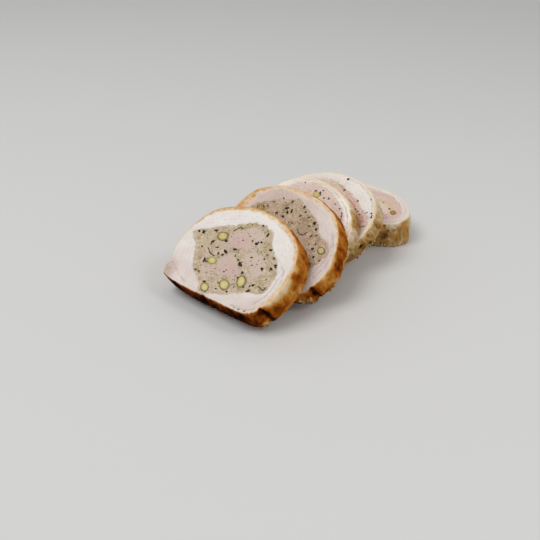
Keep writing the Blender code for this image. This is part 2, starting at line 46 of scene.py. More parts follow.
# The five slices, front to back, in millimetres on their own cut face: u across, v up.
#   base, lean, yaw     place in the row, and how it is turned, in degrees
#   taper               how much thicker the slice gets with height
#   rim, filling, ham   outlines
#   kernels             u, v, half length, half width, turn, how brown, how dark its rind
#   folds               u, v, depth and width of a crease that runs down the skin
#   seams               lines in the cut meat, where its layers meet
#   meat                u, v, reach, how pink the meat is there
#   edge                u, v, reach, width of the fat at the skin, how golden it is
#   line                u, v, reach, width of the skin's own line on the cut face
#   skin                u, v, reach, how dark the skin is roasted, in places with painted shade
#   marks               u, v, height above the back, size, darker or paler skin: roasting, with painted shade and painted highlight
#   fringe              from u, v to u, v, number of shreds, height above the back
#   streak, ragged      height of the skin's long folds, unevenness of its lower edge
#   warm                how much of the pale skin is toasted
sliceShapes = [
    {"name": "slice_1", "base": (-30, -6.5), "lean": 55, "yaw": 2, "thick": 16.5,
     "taper": 0.04, "centre": (-2, 29), "streak": 0.12, "ragged": 0.35,
     "skinTones": "roasted",
     "rim": [(-38.3, 1.4), (-41.2, 3.8), (-42.6, 7.4), (-40.6, 10.8), (-43.2, 15.5),
         (-45.2, 23), (-44.4, 33), (-41.4, 42.8), (-36.6, 50.8), (-27.3, 57.6), (-14, 62.3),
         (2, 63), (13, 60.9), (28.2, 54.2), (36.5, 44), (39.5, 30), (37, 13), (30, 3),
         (16, 1), (-4, 0.2), (-26, 0)],
     "filling": [(-39, 33.5), (-30, 39.5), (-19, 46), (-6, 52.4), (3, 55), (10, 52.2),
         (19, 43), (28, 35), (31, 27), (29.5, 17.5), (19, 12.8), (8, 7.4), (0, 4.4),
         (-4.2, 1.9), (-8.8, 2.5), (-12.5, 6), (-21.5, 12), (-27.5, 20), (-31, 25.5)],
     "ham": [[(-11.6, 36.5), (-12.4, 40), (-9.9, 44.5), (-6, 48.6), (0, 51.6), (5, 51.2),
         (8.5, 47.5), (9.8, 43.5), (7.3, 39.8), (3, 37.2), (-2, 35), (-7, 33.8)],
         [(-15.2, 15.2), (-13.6, 17.4), (-9.6, 19.2), (-9.3, 24.8), (-6.9, 28.8),
         (-2, 30.2), (2, 27.8), (6, 24.5), (7.4, 21.4), (5.3, 18.9), (0, 17), (-6, 15.5),
         (-11, 13.9)],
         [(4, 33), (8, 36.2), (15, 37.2), (19.5, 34.8), (22, 30.3), (22.2, 26), (18, 24.2),
         (11.5, 27)]],
     "kernels": [(-17.8, 38.3, 4, 3, 0, 0.15, 1), (-13.8, 21.9, 3.2, 2.4, 5, 0, 0.45),
         (-6.7, 5.7, 3.4, 2.6, 154, 0, 0.9), (4.2, 12.1, 3.9, 3.1, 160, 0, 0.8),
         (13, 18.2, 4, 3, 118, 0, 0.9)],
     "folds": [(35.6, 8.6, 2.2, 1.1), (-40.4, 10.6, 0.9, 1.6), (-4, 0.2, 0.8, 1.2)],
     "seams": [[(-40.4, 11.4), (-34.6, 8), (-28.7, 5.4), (-21.3, 2.8)],
         [(22, 40.3), (28.3, 37.3), (33.3, 33.9), (35.8, 28.9), (36.3, 23.8), (35.9, 18.3),
         (34.7, 13.2), (32, 7.4), (26, 4.2), (16, 3.2)],
         [(12, 58), (20, 55.4), (26, 52), (31, 48), (35.4, 41.6), (37.4, 34.5)],
         [(33, 28), (33.6, 22), (32.6, 16), (29, 10)]],
     "meat": [(-20, 55, 14, 0.12), (4, 58, 14, 0), (31, 44, 12, 0.16), (34, 24, 10, 0.25),
         (33, 9, 5, 0.95), (24, 3, 4, 0.8), (10, 4, 9, 0.58), (-18, 6, 12, 0.55),
         (-41, 6, 5.5, 2.4), (-37, 20, 9, 0.4), (-41, 34, 10, 0.2)],
     "edge": [(-24, 60, 13, 3.4, 1.1), (-41, 45, 8, 2.4, 0.9), (-46, 26, 10, 1.4, 0.2),
         (4, 63, 11, 2.8, 0.7), (24, 57, 9, 3, 0.9), (39, 38, 9, 2.4, 0.8),
         (40, 24, 9, 2.8, 0.6), (37, 12, 6, 2.2, 0.7), (28, 3, 6, 1.8, 0.7),
         (14, 1, 10, 1, 0.6), (-20, 0, 16, 0.8, 0.5)],
     "line": [(-46, 25, 10, 0.3), (-42, 42, 7, 0.7), (-24, 60, 12, 1.2), (8, 63, 10, 1)],
     # the spots along the bottom (v near 0) and at the upper right (26, 56) are darker than
     # the roast: painted shade under the overhanging front edge and where this slice meets
     # the next
     "skin": [(36, 45, 8, 0.58), (40, 36, 8, 0.58), (40, 24, 8, 0.56), (39, 15, 5, 0.61),
         (37, 11, 3, 0.72), (34, 6, 3.5, 0.74), (29, 2, 4, 0.9), (16, 0, 9, 0.94),
         (-4, 0, 12, 0.96), (-26, 0, 14, 0.95), (-40, 3, 5, 0.86), (-43, 8, 5, 0.4),
         (-46, 24, 11, 0.3), (-40, 46, 8, 0.58), (-22, 60, 12, 0.54), (6, 63, 14, 0.44),
         (26, 56, 8, 0.72)],
     "marks": [(39, 35.6, 10.5, 1.6, 0.16), (39.4, 31, 7.6, 2.4, 0.18),
         (35.3, 46.2, 13.5, 2.6, -0.12), (39.4, 38.5, 14.8, 2.4, -0.26),
         (39.6, 32.6, 1.5, 2.4, -0.16), (39.4, 30, 14.6, 2.6, -0.44),
         (39.3, 25, 14.4, 3, -0.56), (38.5, 18.6, 15, 3, -0.66),
         (37.4, 13.8, 15.8, 1.8, -0.5), (39.4, 26.2, 7.6, 2.6, -0.16),
         (39.4, 27, 1.5, 2.4, -0.1), (37.8, 14.6, 8.6, 2.6, 0.14), (38, 16, 2.6, 2.6, 0.16),
         (36, 9.6, 12, 3, 0.18), (33.6, 6, 3, 2.4, -0.4), (29.8, 3, 10, 2.6, 0.1)],
     "fringe": [(34, 7, 30.5, 3.2, 10, 0)]},
    {"name": "slice_2", "base": (-30, 27.9), "lean": 50, "yaw": 2, "thick": 14,
     "taper": 0.025, "centre": (1, 31), "streak": 0.2, "ragged": 0.55,
     "skinTones": "roasted",
     "rim": [(-42.5, 28), (-41.6, 40.4), (-35.6, 54), (-21.6, 63), (-6, 65), (5, 64.4),
         (14, 63), (24, 59.4), (31, 54.6), (37, 47.5), (42.5, 36), (44.3, 25), (40.5, 11),
         (33, 3.5), (18, 0.4), (-8, 0), (-26, 1.2), (-38, 9)],
     "filling": [(-31.5, 33), (-29.5, 44.5), (-18, 52.2), (-7, 57), (-1, 58.8), (6, 56.2),
         (16, 52), (21, 47.5), (26, 42.6), (34.5, 38.2), (37, 31.5), (31, 20), (18, 9),
         (2, 5.5), (-16, 8), (-28, 19)],
     "ham": [[(8.6, 42.2), (9.6, 45), (12.6, 46.8), (16, 45.4), (17.6, 42.2), (16.4, 39.2),
         (13, 38), (10, 39.4)]],
     "kernels": [(-23, 44.5, 3.3, 2.5, 150, 0.8, 0.8), (32.4, 33.7, 2.7, 2.3, 150, 0.2, 1)],
     "folds": [(43.4, 30.5, 0.6, 1.3), (40.2, 11, 1.6, 1.3), (44, 21, 0.4, 1.2)],
     "seams": [[(-34.2, 52.6), (-29.6, 48.7)],
         [(35.1, 45.5), (36, 41), (37.1, 34.3), (37.8, 29.2), (36.8, 24.7), (34.9, 19.8)],
         [(33, 46), (38.6, 38), (40.4, 31), (40, 24), (37, 17)]],
     "meat": [(-16, 58, 8, 1.6), (4, 61, 12, 0.9), (30, 50, 10, 0.5), (38, 40, 8, 0.5),
         (38, 24, 10, 0.65), (-30, 52, 10, 1)],
     "edge": [(-39, 46, 8, 6.5, 1.2), (-32, 57, 5, 3.6, 1), (-18, 64, 7, 2.4, 0.5),
         (2, 65, 11, 3, 0.6), (20, 61, 8, 2.8, 0.6), (31, 54, 7, 2.4, 0.6),
         (38, 46, 7, 1.8, 0.8), (43, 34, 8, 1.8, 0.8), (43, 20, 8, 1.4, 0.8)],
     "line": [(-39, 46, 8, 1.6), (-20, 63, 8, 0.8), (4, 66, 14, 0.6), (26, 58, 9, 0.6)],
     "skin": [(-36, 50, 10, 0.5), (-20, 63, 9, 0.4), (0, 66, 10, 0.46), (18, 63, 9, 0.6),
         (32, 54, 7, 0.7), (40, 42, 8, 0.66), (44, 32, 5, 0.7), (44.5, 25, 5, 0.6),
         (43, 18, 5, 0.54), (41, 12, 3, 0.9), (37, 7, 5, 0.66), (20, 1, 12, 0.85),
         (-20, 1, 20, 0.85), (-42, 24, 12, 0.4)],
     "marks": [(41.1, 39.7, 11, 1.6, 0.1), (43.7, 32, 13.4, 1.8, -0.3),
         (44.3, 25, 2.5, 2.4, -0.2), (43.4, 19.6, 12.6, 2.2, -0.3),
         (43.8, 21.5, 5.6, 2.4, -0.24), (34, 51.6, 4.6, 3, -0.12), (43.8, 31, 7, 2.6, 0.12),
         (42.7, 35.6, 2.6, 2.2, -0.22), (38.8, 44.4, 10.6, 2.8, -0.28),
         (32.4, 53.4, 10, 3, -0.34), (40.5, 11, 3, 2.4, -0.2), (39.6, 9.6, 13, 2.6, 0.16),
         (36, 6, 8, 2.6, -0.14), (34, 4.2, 9, 3, -0.2), (32, 3, 4, 3, -0.24)],
     "fringe": [(39.6, 9.6, 36, 5, 12, 0), (44.3, 24, 43.2, 17, 6, 0),
         (39.4, 6.8, 33.2, 1.9, 26, 4.5)]},
    {"name": "slice_3", "base": (-33, 51.3), "lean": 48, "yaw": 0, "thick": 11,
     "taper": 0.022, "centre": (-2, 31), "white": (248.1, 241.6, 233), "streak": 0.16,
     "ragged": 0.8, "skinTones": "golden", "warm": 0.45,
     "rim": [(-40.5, 36), (-34, 52), (-20, 61.7), (-6, 64), (8, 62), (20, 57.6), (30, 49.3),
         (35.3, 39), (35.5, 25), (30, 9.5), (18, 1.2), (-4, 0), (-26, 1.8), (-38, 12)],
     "filling": [(-35, 34), (-30, 46.5), (-19, 56.5), (-6, 60.6), (6, 58.8), (14, 55.4),
         (20, 51.2), (25.5, 45.2), (29.3, 36), (28, 23), (21, 11), (7, 5), (-10, 5),
         (-26, 10), (-34, 21)],
     "ham": [],
     "kernels": [(-2.2, 54, 2.6, 2.1, 167, 0.12, 0.1)],
     "folds": [(33.5, 43.5, 0.6, 1.6), (35.8, 30, 0.5, 1.5)],
     "seams": [[(-16.6, 60.9), (-8.3, 62.4), (0.5, 61.9), (8.3, 60), (15.2, 57),
         (22.5, 52.4), (28, 46.6), (31.4, 40)]],
     "meat": [(0, 62, 14, 0.35), (20, 54, 9, 0), (32, 40, 10, -0.1), (-30, 54, 10, 0.3)],
     "edge": [(0, 64, 14, 1.6, 0.05), (20, 58, 8, 1.2, 0.08), (30, 49, 5, 1.2, 0.4),
         (34, 42, 5, 1.8, 0.25), (36, 30, 8, 1.8, 0.1)],
     "skin": [(-20, 62, 14, 0.08), (6, 64, 12, 0.1), (22, 57, 7, 0.22), (30, 50, 4, 0.54),
         (33, 45, 4, 0.42), (35.5, 38, 5, 0.18), (36, 28, 7, 0.31), (31, 10, 8, 0.54),
         (-4, 0, 20, 0.6), (-38, 20, 16, 0.35)],
     "marks": [(28.8, 50.6, 11, 1.4, 0.35), (31.4, 47.5, 9.7, 1.8, 0.15),
         (36, 31.4, 4, 1.1, 0.35), (36, 27, 2.5, 0.9, 0.35), (35.7, 37.2, 1.6, 3, 0.22),
         (35.9, 34.6, 8.6, 3.2, 0.14), (35.9, 29, 0, 3.6, 0.2),
         (33.6, 42.8, 8.6, 2.6, -0.08)],
     "fringe": [(36.2, 33, 34.5, 20, 12, 0)]},
    {"name": "slice_4", "base": (-36, 74.8), "lean": 46, "yaw": 0, "thick": 12.5,
     "taper": 0.02, "centre": (0, 30), "streak": 0.2, "ragged": 1, "skinTones": "golden",
     "warm": 0.45,
     "rim": [(-40.5, 28), (-35, 42), (-24, 52.3), (-8, 59), (9, 60.5), (22, 58), (33, 51),
         (39.5, 42), (40.3, 31), (36, 17), (26, 4), (8, 0), (-14, 0.3), (-31, 5),
         (-39, 15)],
     "filling": [(-35, 30), (-28, 42), (-16, 50.6), (-3, 54.4), (5, 53), (13, 50.6),
         (20, 48.2), (27, 43), (33, 40.2), (36.9, 36), (36, 26), (31, 14), (20, 5.5),
         (2, 3.6), (-18, 5), (-31, 14)],
     "ham": [[(8, 43), (15, 46.6), (22, 44.2), (27, 40), (32, 38.6), (34.4, 34), (33.2, 24),
         (27, 13), (15, 9.5), (6, 17), (4, 31)]],
     "kernels": [],
     "folds": [(40, 37, 0.6, 1.6), (38, 22, 0.7, 1.8)],
     "seams": [[(8.1, 58.9), (17.2, 57.8), (25, 54.6), (32.2, 49.6), (36.8, 44),
         (38.6, 39)],
         [(22.5, 56.4), (29.8, 51.2), (33.6, 47.2), (35, 44.4)]],
     "meat": [(-10, 56, 16, 0.3), (14, 56, 10, 0.05), (30, 49, 8, 0), (38, 36, 6, 0.15)],
     "edge": [(-20, 54, 16, 1.4, 0), (10, 60, 12, 1.2, 0), (30, 53, 8, 1.6, 0.1),
         (38, 44, 5, 1.6, 0.25), (40, 34, 7, 2.6, 0.05), (36, 18, 8, 2.2, 0.1)],
     "skin": [(-24, 54, 16, 0.05), (8, 61, 14, 0.02), (26, 56, 7, 0.1), (36, 48, 5, 0.28),
         (40, 40, 4, 0.42), (40.5, 32, 5, 0.42), (38.6, 24, 4, 0.42), (35, 15, 5, 0.52),
         (8, 0, 20, 0.58), (-34, 12, 14, 0.4)],
     "marks": [(37.8, 21, 6.6, 1.5, 0.7), (40.6, 37.2, 7.2, 1, 0.7),
         (39.9, 28.6, 10, 0.9, 0.7), (40.4, 38.2, 3.6, 1.2, 0.5),
         (39.6, 27.2, 3.2, 1.1, 0.5), (40, 31, 5, 2, 0.12), (40.5, 34.6, 12.4, 2, -0.12),
         (39.8, 27.4, 6.6, 3.6, 0.2), (39.8, 28.6, 0.4, 3.6, 0.24),
         (37.8, 21.2, 4.4, 3.4, 0.22), (40.6, 34, 3, 3, 0.14), (35.2, 15.5, 2.2, 3, 0.12)],
     "fringe": [(40.3, 30, 35, 15, 24, 0)]},
    {"name": "slice_5", "base": (-36, 92.4), "lean": 83, "yaw": 0, "thick": 14.5,
     "taper": math.tan(math.radians(7)), "centre": (-4, 38), "streak": 0.24, "ragged": 1.1,
     "skinTones": "golden", "warm": 0.8,
     "rim": [(-41, 30), (-40, 45), (-32, 59), (-19, 69.5), (-3, 72.7), (10, 71), (22, 66.5),
         (32, 58), (36.8, 48), (34, 38.5), (24, 30.5), (12, 19.5), (2, 8), (-8, 1),
         (-22, 0.5), (-35, 12)],
     "filling": [(-36, 32), (-34.5, 45), (-27, 57), (-15, 65.5), (-2, 67.8), (9, 66.6),
         (19, 62.5), (27.5, 55), (31.2, 47), (28, 40), (18, 31.5), (7, 21), (-2, 10.5),
         (-12, 5.3), (-23, 6.5), (-32, 17)],
     "ham": [[(10, 40), (14, 43.6), (20, 44.6), (25, 43), (26.4, 40.6), (21, 36.2),
         (12, 30), (4, 27), (0, 31), (4, 37)]],
     "kernels": [(24.4, 48.8, 2.8, 2.1, 130, 1, 0.6)],
     "folds": [(29, 34.4, 0.6, 1.6), (36, 44, 0.5, 1.8)],
     "seams": [[(-8, 70.4), (3, 70.8), (14, 68.2), (24, 62.4), (31, 54.6), (33.4, 47)]],
     "meat": [(-10, 70, 14, 0.3), (16, 67, 10, 0.25), (33, 48, 8, 0.55),
         (24, 33, 10, 0.95)],
     "edge": [(-6, 72, 16, 1.4, 0.15), (22, 66, 10, 1.4, 0.2), (36, 48, 8, 1.2, 0.25),
         (28, 34, 8, 1, 0.5)],
     "skin": [(-10, 72, 16, 0.08), (20, 68, 10, 0.06), (34, 55, 6, 0.18), (37, 47, 4, 0.36),
         (35, 41, 4, 0.42), (31, 36, 4, 0.42), (26, 32, 4, 0.56), (16, 24, 8, 0.5),
         (-10, 0, 14, 0.4), (-38, 20, 16, 0.3)],
     "marks": [(28.2, 33.7, 13, 0.9, 0.85), (30.2, 35.1, 8.8, 0.8, 0.55),
         (25.4, 31.8, 14.4, 2.2, -0.35), (28.6, 34, 14.4, 2.2, -0.35),
         (31.6, 36.8, 14.2, 2.2, -0.35), (34.2, 39.8, 14.2, 2, -0.3),
         (33.1, 37.4, 9.2, 0.9, 0.55), (33.6, 38, 12.7, 0.8, 0.5),
         (28.2, 33.7, 5.7, 2, 0.15), (26.1, 32.2, 3.5, 2, 0.15), (35.4, 40.8, 8.3, 2, 0.1),
         (36.9, 46.8, 13.2, 1.6, 0.12), (36.9, 46.6, 5.6, 3.4, 0.24),
         (35.6, 41.4, 3.2, 3.2, 0.16), (33.2, 37.8, 2.6, 2.6, 0.1),
         (31, 35.8, 2, 1.8, -0.3), (27, 32.6, 10, 1.4, -0.2)],
     "fringe": [(34, 38.4, 22, 28.6, 36, 0)]},
]


def smoothLoop(points, steps=16):
    # closed curve through a few points
    p = np.array(points, float)
    before, after, later = np.roll(p, 1, 0), np.roll(p, -1, 0), np.roll(p, -2, 0)
    loop = [0.5 * (2 * p + (after - before) * t
                   + (2 * before - 5 * p + 4 * after - later) * t * t
                   + (3 * p - before - 3 * after + later) * t ** 3)
            for t in np.arange(steps) / steps]
    return np.stack(loop, 1).reshape(-1, 2)


def reachOf(outline, centre, angles):
    # distance from the centre to an outline, along each angle
    loop = smoothLoop(outline) - centre
    theta = np.arctan2(loop[:, 1], loop[:, 0])
    order = np.argsort(theta)
    return np.interp(angles, theta[order], np.hypot(*loop.T)[order], period=fullTurn)


def ripple(angles, seed, waves):
    # uneven waves that close round a loop, each with its pace, height and own seed
    total = 0.0
    for pace, height, shift in waves:
        total += height * 1.6 * np.array([noise.noise(Vector((
            math.cos(a) * pace, math.sin(a) * pace, seed + shift))) for a in angles])
    return total


def blendSpots(points, spots, base, column=0):
    # value at each point, blended from spots of u, v, reach and values
    total = np.full(len(points), 0.02)
    amount = total * base
    for u, v, reach, *values in spots:
        near = np.exp(-((points[:, 0] - u) ** 2 + (points[:, 1] - v) ** 2) / reach ** 2)
        total += near
        amount += near * values[column]
    return amount / total


def alongPath(points, path, width, wander=0.0):
    # 1 on an open line of a few points, fading to 0 beside it
    best = np.full(len(points), 1e9)
    for start, end in zip(path, path[1:]):
        start, run = np.array(start), np.array(end) - np.array(start)
        t = np.clip((points - start) @ run / (run @ run), 0.0, 1.0)
        best = np.minimum(best, np.hypot(*(points - start - t[:, None] * run).T))
    return np.exp(-((best + wander) / width) ** 2)


def loopDistance(points, loop):
    # signed distance to an outline, less than 0 inside
    start, run = loop, np.roll(loop, -1, 0) - loop
    gap = points[:, None, :] - start[None]
    t = np.clip((gap * run[None]).sum(2) / (run ** 2).sum(1)[None], 0.0, 1.0)
    near = np.sqrt(((gap - run[None] * t[..., None]) ** 2).sum(2)).min(1)
    y, startY = points[:, None, 1], start[None, :, 1]
    crosses = (startY > y) != (np.roll(loop, -1, 0)[None, :, 1] > y)
    rise = np.where(run[:, 1] == 0, 1e-9, run[:, 1])
    meet = start[None, :, 0] + (y - startY) / rise[None] * run[None, :, 0]
    inside = (crosses & (points[:, None, 0] < meet)).sum(1) % 2 == 1
    return np.where(inside, -near, near)


def ease(value, low, high):
    t = np.clip((value - low) / (high - low), 0.0, 1.0)
    return t * t * (3.0 - 2.0 * t)


def relief(points, seed, coarse, fine):
    # low bumps on a cut face
    sizes = ((0.45, coarse), (1.3, fine), (2.9, fine * 0.6))
    return np.array([sum(height * noise.noise(Vector((u, v, seed)) * pace)
                         for pace, height in sizes) for u, v in points])


def openFan(shape, columns, centre):
    # directions round a centre, and the points and the slice's back at a reach along them
    angles = np.arange(columns) / columns * fullTurn - math.pi
    way = np.stack([np.cos(angles), np.sin(angles)], 1)

    def pointsAt(reach):
        return centre + way * reach[:, None]

    def backAt(reach):
        return -shape["taper"] * pointsAt(reach)[:, 1]

    return angles, pointsAt, backAt


def quarterRound(turn):
    # how far out and how far down a rounded edge is, for a turn from 0 to 1
    angle = turn * fullTurn / 4
    return math.sin(angle), 1 - math.cos(angle)


def bentGrid(rows):
    # a flat grid bent through rows of points, each with what the materials read there
    bm = bmesh.new()
    names = [name for name in rows[0] if name != "place"]
    handles = [bm.verts.layers.float.new(name) for name in names]
    columns, last = len(rows[0]["place"]), len(rows) - 1
    bmesh.ops.create_grid(bm, x_segments=columns, y_segments=last, size=1.0)
    for vert in bm.verts:
        i = round((vert.co.x + 1.0) * 0.5 * columns) % columns
        row = rows[round((vert.co.y + 1.0) * 0.5 * last)]
        vert.co = row["place"][i]
        for name, handle in zip(names, handles):
            vert[handle] = row[name][i]
    return bm


def placeMatrix(shape):
    # from the drawn slice to its place in the row
    x, y = [(own - middle) * mm for own, middle in zip(shape["base"], rowCentre)]
    return (Matrix.Translation((x, y, 0.0))
            @ Matrix.Rotation(math.radians(shape["yaw"]), 4, "Z")
            @ Matrix.Rotation(math.radians(90.0 - shape["lean"]), 4, "X")
            @ Matrix.Scale(mm, 4))


def addObject(name, data):
    made = bpy.data.objects.new(name, data)
    bpy.context.scene.collection.objects.link(made)
    return made


def finishMesh(shape, bm, title, material, slot, *nodeTitles):
    # keep the drawn place for the materials, weld, turn outwards, tip into the row
    place = bm.verts.layers.float_vector.new("cutPlace")
    for vert in bm.verts:
        vert[place] = vert.co
    bmesh.ops.remove_doubles(bm, verts=bm.verts, dist=0.0005)   # still in mm
    bmesh.ops.dissolve_degenerate(bm, dist=0.0001, edges=bm.edges)
    bmesh.ops.recalc_face_normals(bm, faces=bm.faces)
    bmesh.ops.transform(bm, matrix=placeMatrix(shape), verts=bm.verts)
    for vert in bm.verts:
        vert.co.z = max(vert.co.z, 0.0)     # rests on the floor
    name = f"{shape['name']}_{title}"
    nodes = [f"{shape['name']}_{nodeTitle}" for nodeTitle in nodeTitles]
    mesh = bpy.data.meshes.new(name)
    bm.to_mesh(mesh)
    bm.free()
    mesh.shade_smooth()
    mesh.materials.append(material)
    piece = addObject(name, mesh)
    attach(piece, "root")
    if nodes:
        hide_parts(*nodes)


ringLook = {
    "columns": 460,
    "faceRows": 30,        # rows across the ring of meat
    "sideRows": 18,        # rows down the skin
    "edgeRadius": 1.1,     # soft edge of the cut
    "backRadius": 1.8,
    "sharpHeight": 12,     # the back's edge is sharp near the floor, round above this
    "holeDepth": 2.5,      # how far the cut meat turns in at the filling
    "bulge": 0.7,          # the skin between front and back
    "swell": 0.3,          # the cut meat between hole and skin
    "seamNoise": 1.1,      # unevenness where meat meets filling
    "seamDepth": 0.35,     # grooves between the layers of meat
    "seamWidth": 0.5,
    "seamWander": 0.5,
    "coarse": 0.14,        # relief of the cut meat
    "fine": 0.07,
    "lumps": 0.55,         # broad bumps of the skin
    "wrinkle": 0.16,       # fine ones
    "foldWander": 2.6,
    "foldPaintedShade": 0.16,     # painted shade: skin darker in the creases
    "raggedShare": 0.3,    # part of the skin's height that the ragged edge reaches
    # skin is paler along the cut, at the front partly a painted highlight: how much, and
    # how far down
    "paleFront": (0.2, 1.8),
    "paleBack": (0.22, 0.9),
    # away from the slices' own spots
    "plain": {"skin": 0.35, "fat": 1.2, "gold": 0.3, "line": 0.8, "pink": 0.4},
    # uneven waves: pace, height, own seed
    "rimWaves": [(6, 0.25, 0), (18, 0.14, 0)],
    "holeWaves": [(3, 0.6, 0), (9, 0.5, 5)],
    "fatWaves": [(7, 0.35, 9)],
    "raggedWaves": [(26, 0.6, 4), (55, 0.5, 6)],
}


def holeReach(shape, angles, seed):
    return (reachOf(shape["filling"], shape["centre"], angles)
            + ringLook["seamNoise"] * ripple(angles, seed, ringLook["holeWaves"]))


def skinBumps(points, depth, seed, streak):
    # broad lumps, folds that run along the row, and fine wrinkles
    sizes = ((0.15, 0.18, ringLook["lumps"]), (0.55, 0.12, streak),
             (0.8, 0.8, ringLook["wrinkle"]))
    return np.array([sum(
        height * noise.noise(Vector((u * across, v * across, w * down + seed)))
        for across, down, height in sizes) for (u, v), w in zip(points, depth)])


def makeRing(shape, seed, material):
    look, plain, thick = ringLook, ringLook["plain"], shape["thick"]
    angles, pointsAt, backAt = openFan(shape, look["columns"], shape["centre"])
    flat = np.zeros(len(angles))
    plainRim = reachOf(shape["rim"], shape["centre"], angles)
    plainPoints = pointsAt(plainRim)
    steps = np.hypot(*(np.roll(plainPoints, -1, 0) - plainPoints).T)
    along, girth = np.cumsum(steps) - steps, steps.sum()

    def foldsAt(depth):
        # creases wander a little on their way down the skin
        cut = flat
        for u, v, deep, width in shape["folds"]:
            start = along[np.hypot(*(plainPoints - (u, v)).T).argmin()]
            slide = look["foldWander"] * noise.noise(Vector((u, v, depth * 0.22)))
            off = (along - start - slide + girth / 2) % girth - girth / 2
            cut = cut + deep * np.exp(-np.abs(off / width) ** 1.6)
        return cut

    foldCut = foldsAt(thick)
    rim = plainRim - foldCut * 0.6 + ripple(angles, seed, look["rimWaves"])
    hole = holeReach(shape, angles, seed)
    rimPoints = pointsAt(rim)
    roast = blendSpots(rimPoints, shape["skin"], plain["skin"])
    fatGold = blendSpots(rimPoints, shape["edge"], plain["gold"], 1)
    fatWidth = blendSpots(rimPoints, shape["edge"], plain["fat"]) \
        * (1.0 + ripple(angles, seed, look["fatWaves"]))
    lineWidth = blendSpots(rimPoints, shape.get("line", []), plain["line"])
    ragged = shape["ragged"] * ripple(angles, seed, look["raggedWaves"])
    rows = []

    def addRow(reach, depth, rimGap, sideShare, groove=0.0):
        points = pointsAt(reach)
        # painted shade: the skin is made darker along its creases
        brown = roast + look["foldPaintedShade"] * foldCut * (sideShare > 0.3)
        # paler near the front cut, partly a painted highlight on the edge; paler near the
        # back
        for (pale, fade), gap in ((look["paleFront"], thick - depth),
                                  (look["paleBack"], np.abs(depth - backAt(reach)))):
            brown = brown - pale * np.exp(-gap / fade)
        # marks: darker or paler skin, part roasting, part painted shade in folds and
        # painted highlight on the upper skin
        for u, v, w, size, amount in shape["marks"]:
            gap = (points[:, 0] - u) ** 2 + (points[:, 1] - v) ** 2 + (depth - w) ** 2
            brown += amount * np.exp(-gap / size ** 2)
        rows.append({
            "place": np.column_stack([points, depth]), "fromRim": flat + rimGap,
            "fromHole": reach - hole, "skinSide": flat + sideShare,
            "browningAndPaintedLight": np.clip(brown, 0.0, 1.0), "crease": flat + groove,
            "pinkness": blendSpots(points, shape["meat"], plain["pink"]),
            "fatWidth": fatWidth, "fatGold": fatGold, "lineWidth": lineWidth})

    # inside wall of the hole, then out across the cut meat to the skin
    wall = flat + thick - look["holeDepth"]
    addRow(hole, wall, rim - hole, 0.0)
    addRow(hole, flat + thick - 0.2, rim - hole, 0.0)
    edge, tail = look["edgeRadius"], look["backRadius"]
    inner, outer = hole + 0.05, rim - edge
    for share in np.arange(look["faceRows"] + 1) / look["faceRows"]:
        reach = inner + (outer - inner) * share
        points = pointsAt(reach)
        wander = relief(points, seed + 2, look["seamWander"], 0.0)
        groove = flat
        for path in shape["seams"]:
            groove = np.maximum(groove, alongPath(points, path, look["seamWidth"], wander))
        depth = thick + look["swell"] * math.sin(math.pi * share) \
            + relief(points, seed, look["coarse"], look["fine"]) * min(1, 5 * share + 0.2) \
            - look["seamDepth"] * groove
        addRow(reach, depth, rim - reach, 0.0, groove)
    for turn in (0.25, 0.5, 0.75, 1.0):
        out, drop = quarterRound(turn)
        addRow(outer + edge * out, thick - flat - edge * drop, edge * (1 - out), turn)
    # down the skin, with folds and wrinkles
    low = backAt(rim) + tail * 0.6
    for k in range(1, look["sideRows"] + 1):
        share = 1.0 - k / (look["sideRows"] + 1)
        depth = low + (thick - edge - low) * share
        across = math.sin(math.pi * share)
        foldCut = foldsAt(float(depth.mean()))
        reach = rim + look["bulge"] * across - foldCut * (0.55 + 0.45 * across)
        bumps = skinBumps(pointsAt(reach), depth, seed, shape["streak"])
        reach = reach + bumps * min(1, 3 * across) \
            + ragged * max(0.0, 1.0 - share / look["raggedShare"])
        addRow(reach, depth, 0.0, 1.0)
    # round the edge of the back, and across it to the hole
    lift = np.clip(rimPoints[:, 1] / look["sharpHeight"], 0.0, 1.0)
    for turn in (1 / 3, 2 / 3, 1.0):
        out, drop = quarterRound(turn)
        reach = rim - tail * lift * drop + ragged * (1 - turn)
        addRow(reach, backAt(reach) + tail * 0.6 * (1 - out), 0.0, 1.0 - 0.5 * turn)
    for share in (0.15, 0.4, 0.7, 1.0):
        reach = (rim - tail * lift) * (1 - share) + hole * share
        addRow(reach, backAt(reach), rim - reach, 0.0)
    addRow(hole, backAt(hole) * 0.5 + wall * 0.5, rim - hole, 0.0)
    addRow(hole, wall, rim - hole, 0.0)
    finishMesh(shape, bentGrid(rows), "breastMeat", material, "breast_meat", "meat")


